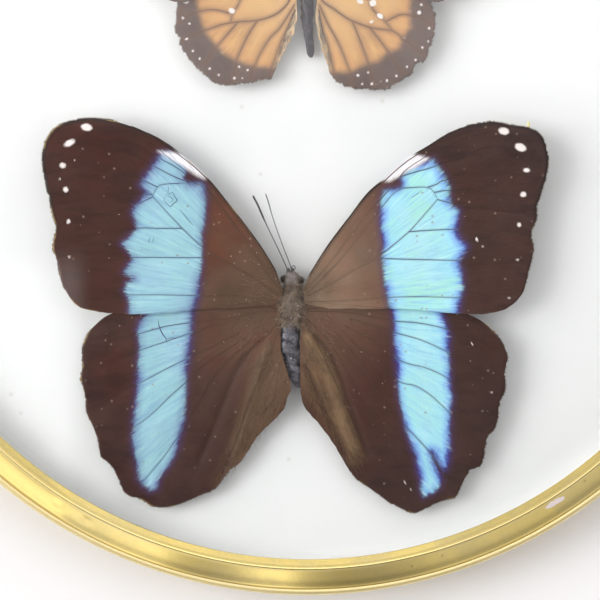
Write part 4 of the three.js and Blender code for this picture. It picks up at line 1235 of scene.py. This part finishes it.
# Bodies. A row of the trunk is [along, across, height, half width, half height], an antenna's is
# [along, across, height], a lobe's is its middle and its three radii, and a club is the shaft's
# half width, what the club adds, and where on the way out it begins.

blueBody = {
    "centre": blueCentre,
    "trunk": [
        (-19, 1.4, 8.6, 0.4, 0.5), (-18, 1.1, 8.7, 1, 1.1), (-15.8, 0.5, 8.9, 1.6, 1.6),
        (-13.3, 0, 9.1, 2, 1.9), (-10.8, -0.4, 9.3, 2.2, 2.1), (-8.4, -0.5, 9.4, 2.1, 2.2),
        (-6.2, -0.5, 9.6, 1.9, 2.1), (-4.8, -0.3, 9.8, 2, 2.5), (-2.8, 0, 9.9, 2.4, 2.8),
        (-0.4, 0.05, 10, 2.5, 2.9), (1.6, 0, 10, 2.2, 2.7), (2.9, 0, 9.9, 1.6, 2),
        (3.5, 0.05, 9.9, 1.75, 1.6), (4.6, 0.05, 9.9, 1.8, 1.5), (5.6, 0, 9.8, 1.2, 1.2),
        (6.3, -0.1, 9.7, 0.5, 0.6)],
    "abdomenEnd": -5.4, "segment": 1.75, "shrink": 0.12, "lumps": 0.11,
    "eyes": [(-1.5, 4.35, 9.95), (1.65, 4.15, 9.95)], "eyeRadius": 0.95,
    "lobes": [
        (-0.75, 6.1, 9.9, 0.42, 0.7, 0.45), (0.2, 6.1, 9.9, 0.42, 0.7, 0.45),
        (-2.9, 0.4, 11.1, 1.3, 1.9, 0.85), (2.9, 0.2, 11.1, 1.3, 1.9, 0.85),
        (-2.7, -3.2, 10.6, 1.3, 2.2, 0.9), (2.7, -3.4, 10.6, 1.3, 2.2, 0.9)],
    "antennae": [
        [(5.4, -0.75, 10.2), (6.9, -1.1, 10.6), (11, -2.9, 11.6), (16.3, -5.4, 12.6), (20, -7, 13),
            (21.6, -7.8, 13.1), (22.4, -8.2, 13.2)],
        [(5.4, -0.3, 10.2), (7, -0.2, 10.7), (11.9, -2, 11.9), (17.4, -3.9, 12.9), (20.6, -4.8, 13.4),
            (22.2, -5.3, 13.5), (22.8, -5.5, 13.6)]],
    "clubs": [(0.10, 0.115, 0.70), (0.09, 0.035, 0.80)],
    "tongue": (0.35, 6.9, 10.3, 0.42),
    "hairs": 3000, "hairLength": 1.7, "hairEnd": -5.5,
}
orangeBody = {
    "centre": orangeCentre,
    "trunk": [
        (-21.3, 0.9, 8.3, 0.3, 0.4), (-20.2, 0.8, 8.4, 0.75, 0.8), (-17.9, 0.5, 8.6, 0.95, 1.1),
        (-13.7, 0.1, 8.8, 1.15, 1.3), (-9.5, 0, 9, 1.4, 1.5), (-6, 0, 9.1, 1.4, 1.6),
        (-4.6, 0, 9.2, 1.5, 1.9), (-2.6, 0, 9.3, 1.9, 2.2), (0, 0, 9.3, 2, 2.2), (2.6, 0, 9.3, 1.7, 2),
        (4.2, 0, 9.2, 1.2, 1.4), (5.6, 0, 9.2, 1.2, 1.2), (6.6, 0, 9.1, 0.8, 0.8), (7.1, 0, 9.1, 0.4, 0.4)],
    "abdomenEnd": -5.2, "segment": 2.1, "shrink": 0.06, "lumps": 0.09,
    "eyes": [(-1, 5.3, 9.3), (1, 5.3, 9.3)], "eyeRadius": 0.7,
    "lobes": [
        (-0.4, 7, 9.2, 0.35, 0.6, 0.4), (0.4, 7, 9.2, 0.35, 0.6, 0.4), (-2.3, 1, 10.5, 1.0, 1.6, 0.7),
        (2.3, 1, 10.5, 1.0, 1.6, 0.7)],
    "clubs": [(0.10, 0.12, 0.84), (0.10, 0.12, 0.84)],
    "tongue": (0, 7.5, 9.2, 0.35),
    "antennae": [
        [(6.4, -0.5, 9.5), (7.6, -0.6, 9.7), (11.4, -2.4, 10.8), (15.4, -4.3, 11.6), (18.2, -5.5, 12),
            (19.4, -5.9, 12.1), (20, -6.1, 12.2)],
        [(6.4, 0.5, 9.5), (7.6, 0.6, 9.7), (11.4, 2.3, 10.8), (15.5, 4, 11.6), (18.4, 5, 12),
            (19.6, 5.4, 12.1), (20.2, 5.5, 12.2)]],
    "hairs": 1800, "hairLength": 1.0, "hairEnd": -5,
}


def trunkSurface(body, rows, sides):
    # ovals square to the body's length, strung along it; over the abdomen their size swells in
    # each segment and pinches between two, and all over it is lumpy
    sections = smoothLine(body["trunk"], rows)
    along, across, height, wide, tall = sections.T[:, :, None]
    angle = np.linspace(0, 2 * np.pi, sides, endpoint=False)
    onAbdomen = 1 / (1 + np.exp((along - body["abdomenEnd"]) * 3))
    rings = np.abs(np.sin(np.pi * along / body["segment"])) ** 0.6
    size = 1 + body["shrink"] * onAbdomen * (rings - 0.9)
    where = np.stack(np.broadcast_arrays(along * 1.0, angle * 1.5 + 0 * along), -1).reshape(-1, 2)
    lumps = ripple(where, 2.2, 5).reshape(along.shape[0], sides)
    size = size * (1 + (0.03 + body["lumps"] * onAbdomen) * lumps)
    x = body["centre"][0] + across + wide * size * np.cos(angle)
    y = body["centre"][1] + along + 0 * angle
    z = height + tall * size * np.sin(angle)
    return np.stack([x, y, z], -1)


def makeBody(name, body, shellMaterial, eyeMaterial, hairMaterial):
    # the trunk and its lobes in one piece, with the tongue, the eyes and the hair beside it
    rows, sides = 150, 56
    grid = trunkSurface(body, rows, sides)
    order = np.arange(sides)
    wall = gridFaces(rows, sides, wrapColumns=True)[:, ::-1]
    shell = (grid.reshape(-1, 3), [*wall, order, (order + (rows - 1) * sides)[::-1]])
    middle = np.array([*body["centre"], 0])
    lobes = [ball(middle + lobe[:3], lobe[3:], 24) for lobe in body["lobes"]]
    points, faces = joinShapes([shell, *lobes])
    made = makeObject(name, points, faces, shellMaterial)
    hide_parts(name)
    along = points[:, 1] - body["centre"][1]
    head = 1 / (1 + np.exp((3.4 - along) * 3))
    addAttribute(made, "thorax", (1 - 0.5 * head) / (1 + np.exp((body["abdomenEnd"] + 0.3 - along) * 3)))

    # the tongue, a rising coil that tightens, is curled up in front of the head
    x, y, z, radius = body["tongue"]
    t = np.linspace(0, 1, 60)
    turn = np.linspace(-0.6, 1.75, 60) * np.pi
    coil = radius * (1 - 0.16 * t)
    path = middle + np.stack([x + coil * np.cos(turn), y + coil * np.sin(turn), z + 0.25 * t], -1)
    width = np.full((1, 60), 0.085)
    points, faces = barsAlong(path[None], width, width, 8)
    makeObject(name + "_tongue", points, faces, shellMaterial)
    eyes = [ball(middle + p, (body["eyeRadius"],) * 3, 32) for p in body["eyes"]]
    points, faces = joinShapes(eyes)
    makeObject(name + "_eyes", points, faces, eyeMaterial)
    makeHairs(name + "_hair", body, hairMaterial)


hairs = {
    "spread": 1.35, "scatter": 0.35, "back": (0.3, 1.2), "curl": 0.25, "lowest": 7.2,
    "width": 0.042, "thicker": 2.0,
}


def makeHairs(name, body, material):
    # tapering bent hairs that lie backwards over the thorax and head: each leaves its root
    # outwards, by t x (1 - 0.45t), and bends over, by t to the power 1.4, with a curl by t squared
    rng = np.random.default_rng(len(name))
    count = body["hairs"]
    grid = trunkSurface(body, 300, 120)
    centre = body["centre"]
    along = grid[:, 0, 1] - centre[1]
    rows = np.flatnonzero((along > body["hairEnd"]) & (along < 5.4))
    r = rng.choice(rows, count)
    c = rng.integers(0, 120, count)
    upper = (c > 4) & (c < 56) | (rng.random(count) < 0.35)
    upper &= (grid[r, 0, 1] - centre[1] < 3.2) | (rng.random(count) < 0.3)
    r, c = r[upper], c[upper]
    count = len(r)
    roots = grid[r, c]
    middle = grid.mean(axis=1)[r]
    out = roots - middle
    out /= np.linalg.norm(out, axis=1, keepdims=True)
    spread = out[:, 0] * hairs["spread"]
    lie = np.stack([spread + rng.normal(0, hairs["scatter"], count), -rng.uniform(*hairs["back"], count),
                    rng.normal(0, 0.15, count)], -1)
    length = body["hairLength"] * rng.uniform(0.5, 1.0, count)
    t = np.linspace(0, 1, 5)[None, :, None]
    curl = rng.normal(0, hairs["curl"], (count, 3))
    bent = (0.55 * t * (1 - 0.45 * t) * out[:, None] + 0.8 * t**1.4 * lie[:, None] + curl[:, None] * t**2)
    paths = roots[:, None] + length[:, None, None] * bent
    paths[..., 2] = np.maximum(paths[..., 2], hairs["lowest"])
    # most hairs are thin, and a few are up to four times as thick
    thickness = 0.7 + hairs["thicker"] * rng.random((count, 1)) ** 8
    width = hairs["width"] * np.linspace(1, 0.25, 5)[None] * thickness
    points, faces = barsAlong(paths, width, width, 3)
    makeObject(name, points, faces, material)


def makeAntennae(name, body, material):
    # rods with fine rings, 1 + 0.12 cos(80 pi t), that swell into a club near the tip
    for label, line, (shaft, swelling, begins) in zip(("left", "right"), body["antennae"], body["clubs"]):
        path = smoothLine([(x, y, z) for y, x, z in line], 120) + [*body["centre"], 0]
        t = np.linspace(0, 1, 120)
        club = shaft + swelling / (1 + np.exp(-(t - begins) * 40))
        ringed = 1 + 0.12 * np.cos(t * 2 * np.pi * 40)
        width = club * ringed * np.clip((1.012 - t) * 30, 0.2, 1)
        points, faces = barsAlong(path[None], width[None], width[None] * 0.9, 10)
        made = makeObject(f"{name}_{label}_feeler", points, faces, material)
        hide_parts(f"{name}_{label}_antenna")


def makeWingHair(name, wing, region, count, lengths, heading, material, slot, seed):
    # fine hairs lying on a wing inside a closed region, all combed one way. Each is a chain of
    # equal steps whose heading turns evenly, raised by a part of a sine wave
    rng = np.random.default_rng(seed)
    region = np.array(region)
    low, high = region.min(axis=0), region.max(axis=0)
    tries = rng.uniform(low, high, (count * 4, 2))
    xy = tries[insideDistance(tries, region) > 0][:count]
    xy = xy[insideDistance(xy, np.vstack([wing["rootLine"][0], wing["edge"], wing["rootLine"][1]])) > 0.3]
    count = len(xy)
    angle = np.radians(heading) + rng.normal(0, 0.22, count)
    length = rng.uniform(*lengths, count)
    t = np.linspace(0, 1, 5)
    bend = rng.normal(0, 0.35, count)
    turn = angle[:, None] + bend[:, None] * t
    step = np.stack([np.cos(turn), np.sin(turn)], -1) * (length / 4)[:, None, None]
    line = xy[:, None] + np.cumsum(step, axis=1) - step[:, :1]
    z, _, _ = wingSurface(line.reshape(-1, 2), wing)
    z = z.reshape(count, 5) + 0.02 + 0.28 * np.sin(np.pi * t * 0.75) * rng.uniform(0.2, 1, (count, 1))
    paths = intoFrame(line, z, wing)
    width = 0.03 * np.linspace(1, 0.3, 5)[None] * rng.uniform(0.7, 1.4, (count, 1))
    points, faces = barsAlong(paths, width, width, 3)
    makeObject(name, points, faces, material)


def makeFlecks(name, wing, count, material, seed):
    # loose scales and dust: thin curved flakes lying on the wing
    rng = np.random.default_rng(seed)
    t = rng.uniform(0.1, 0.95, count)
    i = rng.integers(0, len(wing["edge"]), count)
    root = np.array(wing["rootLine"][0])
    xy = root + t[:, None] * (wing["edge"][i] - root)
    angle = rng.uniform(0, np.pi, count)
    half = rng.uniform(0.06, 0.3, count) ** 1.3 * 0.8
    s = np.linspace(-1, 1, 4)
    direction = np.stack([np.cos(angle), np.sin(angle)], -1)
    line = xy[:, None] + direction[:, None] * (half[:, None] * s)[..., None]
    z, _, _ = wingSurface(line.reshape(-1, 2), wing)
    z = z.reshape(count, 4) + 0.05
    paths = intoFrame(line, z, wing)
    width = np.array([0.3, 1, 0.9, 0.3])[None] * rng.uniform(0.03, 0.09, (count, 1))
    points, faces = barsAlong(paths, width, width * 0.3, 4)
    makeObject(name, points, faces, material)


# Stage, light and camera

camera = {"at": (0.0, 0.0, 0.430), "aim": (-0.00155, -0.0382, 0.012), "lens": 118.14}
light = {
    "key": {"at": (-0.99, 0.16, 0.83), "size": (0.7, 0.7), "watts": 8.3, "colour": (1.0, 0.99, 0.98)},
    "back": {"at": (0.15, 1.1, 1.0), "size": (1.2, 0.8), "watts": 1.7, "colour": (1.0, 1.0, 1.0)},
    "right": {"at": (1.2, -0.2, 0.75), "size": (0.9, 0.6), "watts": 1.5, "colour": (1.0, 1.0, 1.0)},
}
room = {
    "ceiling": 1.35, "window": 0.9, "dark": 0.08, "colour": (1.0, 0.99, 0.985, 1),
    # heading in degrees and brightness, all round
    "walls": [
        (-180, 0.75), (-128, 0.62), (-121, 0.7), (-116, 1.2), (-108.5, 1.35), (-106.5, 0.5), (-99, 0.48),
        (-97, 1.25), (-92.5, 1.25), (-90.5, 0.62), (-86, 0.3), (-79, 0.36), (-72, 0.66), (-60, 0.6),
        (0, 0.8), (60, 0.75), (120, 0.7), (180, 0.75)],
}


def makeCamera():
    # looks from its place to the aim, with the frame's +Y upwards in the picture
    data = bpy.data.cameras.new("camera")
    data.lens = camera["lens"]
    data.sensor_width = 36
    made = bpy.data.objects.new("camera", data)
    made.location = camera["at"]
    backward = (Vector(camera["at"]) - Vector(camera["aim"])).normalized()
    right = Vector((0, 1, 0)).cross(backward).normalized()
    made.rotation_euler = Matrix((right, backward.cross(right), backward)).transposed().to_euler()
    bpy.context.scene.collection.objects.link(made)
    bpy.context.scene.camera = made


def makeLights():
    # soft rectangles that face the middle of the frame
    for name, settings in light.items():
        data = bpy.data.lights.new(name, "AREA")
        data.shape = "RECTANGLE"
        data.size, data.size_y = settings["size"]
        data.energy = settings["watts"]
        data.color = settings["colour"]
        made = bpy.data.objects.new(name, data)
        made.location = settings["at"]
        made.rotation_euler = (-Vector(settings["at"])).to_track_quat("-Z", "Y").to_euler()
        bpy.context.scene.collection.objects.link(made)


def makeWorld():
    # a pale room: walls of uneven brightness low down, a bright ceiling at the head of the frame, a
    # window's glow high on the left, and dark in between, so that little of it shows in the glass
    world = bpy.data.worlds.new("studio")
    bpy.context.scene.world = world
    world.use_nodes = True
    tree = world.node_tree
    back = tree.nodes["Background"]
    heading = place(tree, "ShaderNodeSeparateXYZ",
                    {0: place(tree, "ShaderNodeTexCoord").outputs["Generated"]})
    x, y, z = heading.outputs
    ceiling = times(tree, band(tree, y, -0.04, 0.14), band(tree, z, 0.5, 0.75))
    window = times(tree, band(tree, x, -0.395, -0.44), band(tree, y, -0.22, -0.30))
    window = times(tree, window, band(tree, z, 0.45, 0.6))
    turn = maths(tree, "DIVIDE", maths(tree, "ARCTAN2", y, x), 2 * math.pi)
    walls = ramp(tree, maths(tree, "ADD", turn, 0.5), [
        ((degrees + 180) / 360, (value, value, value)) for degrees, value in room["walls"]])
    low = times(tree, walls, band(tree, z, 0.64, 0.56))
    strength = addTimes(tree, ceiling, room["ceiling"], room["dark"])
    strength = addTimes(tree, window, room["window"], strength)
    strength = maths(tree, "ADD", low, strength)
    tree.links.new(strength, back.inputs["Strength"])
    back.inputs["Color"].default_value = room["colour"]


def makeFloor():
    # a plain pale table top that the frame lies on
    material, tree, shader = newMaterial("paleTable")
    shade, height = grain(tree, objectPlace(tree), 0.004, 0.02)
    colour = shaded(tree, (0.92, 0.91, 0.93, 1), shade)
    inputs = {"Base Color": colour, "Roughness": 0.7, "Specular IOR Level": 0.2}
    finishSurface(tree, shader, inputs, height, 0.05, 0.0001)
    half = 6.0  # metres
    mesh = bpy.data.meshes.new("table_top")
    mesh.from_pydata([(-half, -half, 0), (half, -half, 0), (half, half, 0), (-half, half, 0)], [],
                     [(0, 1, 2, 3)])
    mesh.materials.append(material)
    floor = bpy.data.objects.new("table_top", mesh)
    bpy.context.scene.collection.objects.link(floor)


makeCamera()
makeLights()
makeWorld()
makeFloor()
bpy.context.scene.view_settings.view_transform = "Standard"
print("stage ready")

brassMaterial = makeBrass()
makeRim(brassMaterial)
makeTabs(brassMaterial)
makeDome(makeGlass())
cardMaterial = makeCard()
steelMaterial = makeSteel()
for node, material in {"mount_card": cardMaterial, "spacer_ring": cardMaterial, "back_board": makeBoard(),
                       "saw_tooth_hanger": steelMaterial, "hanger_nail_left": steelMaterial,
                       "hanger_nail_right": steelMaterial}.items():
    dressCadNode(node, material)
print("case made")

blueLeftLook = {
    "ground": [(0, (0.115, 0.066, 0.038)), (10, (0.118, 0.064, 0.038)), (22, (0.105, 0.050, 0.031)),
        (31, (0.056, 0.017, 0.010)), (46, (0.054, 0.016, 0.010)), (60, (0.062, 0.024, 0.018))],
    "streaks": 0.5, "teeth": 3.5, "green": 0.2, "fringe": 0.6, "costaEnd": 60.0, "ruddy": 0.8,
    # ridge is the colour of a painted highlight on the folds' raised ridges
    "patchShade": (0.42, 0.46, 0.56), "ridge": (0.14, 0.085, 0.05),
    "blue": [(0.0, (0.06, 0.045, 0.15)), (0.05, (0.14, 0.17, 0.36)), (0.12, (0.24, 0.38, 0.55)),
        (0.27, (0.33, 0.56, 0.68)), (1.0, (0.37, 0.62, 0.72))],
    "tan": (0.15, 0.088, 0.05), "paintedCreaseShade": 0.4, "creaseShadeColour": (0.045, 0.018, 0.012),
    "veinShade": 0.88, "veinInBand": (0.09, 0.11, 0.19, 1), "teal": (0.34, 0.74, 0.62),
    "glint": (0.48, 0.75, 0.80),
}
# the wings on the right: their blue is more saturated and their glint brighter than on the left, a painted
# difference in how the light falls on the two sides
blueRightLook = dict(
    blueLeftLook,
    ground=[(0, (0.13, 0.085, 0.058)), (4, (0.19, 0.125, 0.083)), (9, (0.22, 0.145, 0.10)),
        (20, (0.175, 0.108, 0.076)), (31, (0.066, 0.027, 0.019)), (46, (0.055, 0.024, 0.018)),
        (60, (0.05, 0.024, 0.02))],
    green=0.7, fringe=0.1, ruddy=0.45, patchShade=(0.74, 0.76, 0.80), teal=(0.42, 0.86, 0.68),
    glint=(0.66, 0.93, 0.92),
    blue=[(0.0, (0.05, 0.035, 0.2)), (0.05, (0.12, 0.17, 0.52)), (0.12, (0.26, 0.50, 0.88)),
        (0.26, (0.40, 0.78, 0.92)), (1.0, (0.48, 0.83, 0.90))],
)
blueHindLook = dict(
    blueLeftLook, costaEnd=-20.0,
    ground=[(0, (0.125, 0.070, 0.044)), (12, (0.125, 0.066, 0.042)), (24, (0.07, 0.030, 0.021)),
        (34, (0.055, 0.021, 0.015)), (60, (0.05, 0.02, 0.016))],
)
blueRightHindLook = dict(
    blueRightLook, costaEnd=-20.0,
    ground=[(0, (0.125, 0.074, 0.05)), (12, (0.12, 0.07, 0.048)), (24, (0.060, 0.023, 0.015)),
        (34, (0.050, 0.020, 0.014)), (60, (0.046, 0.02, 0.016))],
    # ridge here too is the colour of a painted highlight on the folds' ridges
    tan=(0.20, 0.115, 0.058), paintedCreaseShade=0.7, green=0.25, fringe=0.4, ridge=(0.26, 0.165, 0.088),
)
orangeForeLook = {
    "ground": [(0, (0.50, 0.20, 0.07)), (20, (0.50, 0.19, 0.06)), (60, (0.44, 0.16, 0.05))],
    "border": (0.075, 0.042, 0.034), "borderPale": (0.15, 0.095, 0.078), "tan": (0.62, 0.45, 0.28),
    "veinShade": 0.14, "veinInBand": (0.20, 0.10, 0.055, 1), "veinEdge": (0.17, 0.085, 0.055),
    "glow": (0.72, 0.44, 0.17),
}
orangeHindLook = dict(
    orangeForeLook, tan=(0.66, 0.50, 0.33),
    ground=[(0, (0.62, 0.40, 0.22)), (10, (0.60, 0.35, 0.15)), (20, (0.55, 0.285, 0.11)),
            (60, (0.50, 0.23, 0.085))],
)

blueForeVeins = makeVeinMaterial("blueForewingVeins", blueLeftLook)
blueRightVeins = makeVeinMaterial("blueRightForewingVeins", blueRightLook)
blueHindVeins = makeVeinMaterial("blueHindwingVeins", blueHindLook)
orangeVeins = makeVeinMaterial("orangeWingVeins", orangeForeLook)
darkFringe = makeHair("darkFringe", (0.035, 0.02, 0.016, 1), (0.20, 0.12, 0.06, 1))
orangeFringe = makeHair("orangeFringe", (0.03, 0.02, 0.016, 1), (0.35, 0.28, 0.22, 1))
brownHair = makeHair("thoraxHair", (0.11, 0.075, 0.055, 1), (0.50, 0.39, 0.29, 1))
rootHair = makeHair("rootHair", (0.15, 0.09, 0.06, 1), (0.34, 0.23, 0.16, 1))
darkHair = makeHair("darkHair", (0.02, 0.017, 0.016, 1), (0.10, 0.08, 0.065, 1))
tanHair = makeHair("foldHair", (0.12, 0.062, 0.034, 1), (0.27, 0.165, 0.09, 1))
dust = makeHair("looseScales", (0.25, 0.18, 0.14, 1), (0.72, 0.62, 0.56, 1))

orangeLeftFore = orangeForewing(-1, 61)
orangeRightFore = orangeForewing(1, 67)
leftForeScales = makeBlueWing("blueLeftForewing", blueLeftLook)
rightForeScales = makeBlueWing("blueRightForewing", blueRightLook)
leftHindScales = makeBlueWing("blueLeftHindwing", blueHindLook)
rightHindScales = makeBlueWing("blueRightHindwing", blueRightHindLook)
orangeForeScales = makeOrangeWing("orangeForewing", orangeForeLook)
orangeHindScales = makeOrangeWing("orangeHindwing", orangeHindLook)
wings = [
    ("blue_left_forewing", blueLeftFore, leftForeScales, blueForeVeins, darkFringe),
    ("blue_right_forewing", blueRightFore, rightForeScales, blueRightVeins, darkFringe),
    ("blue_left_hindwing", blueLeftHind, leftHindScales, blueHindVeins, darkFringe),
    ("blue_right_hindwing", blueRightHind, rightHindScales, blueHindVeins, darkFringe),
    ("orange_left_hindwing", orangeLeftHind, orangeHindScales, orangeVeins, orangeFringe),
    ("orange_left_forewing", orangeLeftFore, orangeForeScales, orangeVeins, orangeFringe),
    ("orange_right_hindwing", orangeRightHind, orangeHindScales, orangeVeins, orangeFringe),
    ("orange_right_forewing", orangeRightFore, orangeForeScales, orangeVeins, orangeFringe),
]
for name, wing, scales, veins, fringe in wings:
    kind, _, piece = name.split("_")
    makeWing(name, wing, scales, veins, fringe)
    makeFlecks(name + "_flecks", wing, 45 if kind == "blue" else 20, dust, wing["seed"] + 9)
print("wings made")

shellLook = {
    "dark": (0.06, 0.055, 0.065), "light": (0.17, 0.16, 0.19), "dust": (0.60, 0.58, 0.64),
    "thorax": (0.09, 0.06, 0.045), "thoraxLight": (0.24, 0.18, 0.135), "roughness": 0.16,
}
feelerLook = {
    "dark": (0.05, 0.045, 0.045), "light": (0.13, 0.12, 0.12), "dust": (0.25, 0.22, 0.22),
    "thorax": (0.05, 0.045, 0.045), "thoraxLight": (0.13, 0.12, 0.12), "roughness": 0.35,
}
darkShellLook = {
    "dark": (0.010, 0.008, 0.012), "light": (0.05, 0.038, 0.052), "dust": (0.20, 0.17, 0.2),
    "thorax": (0.03, 0.024, 0.02), "thoraxLight": (0.08, 0.06, 0.05), "roughness": 0.3,
}
eyeMaterial = makeEyeMaterial()
blueShell = makeBodyMaterial("greyBlueShell", shellLook)
orangeShell = makeBodyMaterial("darkShell", darkShellLook)
feelerShell = makeBodyMaterial("feelerShell", feelerLook)
makeBody("blue_body", blueBody, blueShell, eyeMaterial, brownHair)
makeBody("orange_body", orangeBody, orangeShell, eyeMaterial, darkHair)
makeAntennae("blue", blueBody, feelerShell)
makeAntennae("orange", orangeBody, feelerShell)
print("bodies made")

# name, wing, region, number, shortest and longest, heading in degrees, material, slot
wingHairs = [
    ("blue_left_base_hair", blueLeftHind, [(2.5, -2), (9, -2), (11, -8), (8, -16), (2, -16)], 150,
     (1.2, 3.2), -50, rootHair, "blue_hindwing_scales"),
    ("blue_left_root_hair", blueLeftFore, [(2, 2), (6, 6), (10, 4), (9, -1.4), (2, -1)], 60,
     (0.8, 2.6), 15, rootHair, "blue_forewing_scales"),
    ("blue_right_base_hair", blueRightHind, [(2.5, -2), (8, -2), (9, -7), (7, -15), (2, -16)], 110,
     (1.2, 3.2), -50, rootHair, "blue_hindwing_scales"),
    ("blue_right_root_hair", blueRightFore, [(2.4, 2), (6, 6), (9, 4), (8, -1.4), (2.8, -0.6)], 60,
     (0.8, 2.6), 20, rootHair, "blue_forewing_scales"),
    ("blue_left_fold_hair", blueLeftHind, blueLeftHind["tan"], 420,
     (1.5, 4.2), -68, tanHair, "blue_hindwing_scales"),
    ("blue_right_fold_hair", blueRightHind, blueRightHind["tan"], 420,
     (1.5, 4.2), -66, tanHair, "blue_hindwing_scales"),
    ("orange_left_fold_hair", orangeLeftHind, orangeLeftHind["tan"], 260,
     (0.8, 2.0), -70, orangeFringe, "orange_hindwing_scales"),
    ("orange_right_fold_hair", orangeRightHind, orangeRightHind["tan"], 260,
     (0.8, 2.0), -75, orangeFringe, "orange_hindwing_scales"),
]
for seed, row in enumerate(wingHairs, 71):
    makeWingHair(*row, seed)

# a drop of dried glue at the tip of the blue butterfly's right forewing
glueDrop = {
    "at": (46.5, -1.1, 12.6), "radii": (0.30, 0.85, 0.18),
    "dark": (0.72, 0.64, 0.24, 1), "light": (0.85, 0.80, 0.42, 1),
}
points, faces = ball(np.array(glueDrop["at"]), glueDrop["radii"], 24)
makeObject("dried_glue_drop", points, faces, makeHair("driedGlue", glueDrop["dark"], glueDrop["light"], 0.3))
print("hair made")
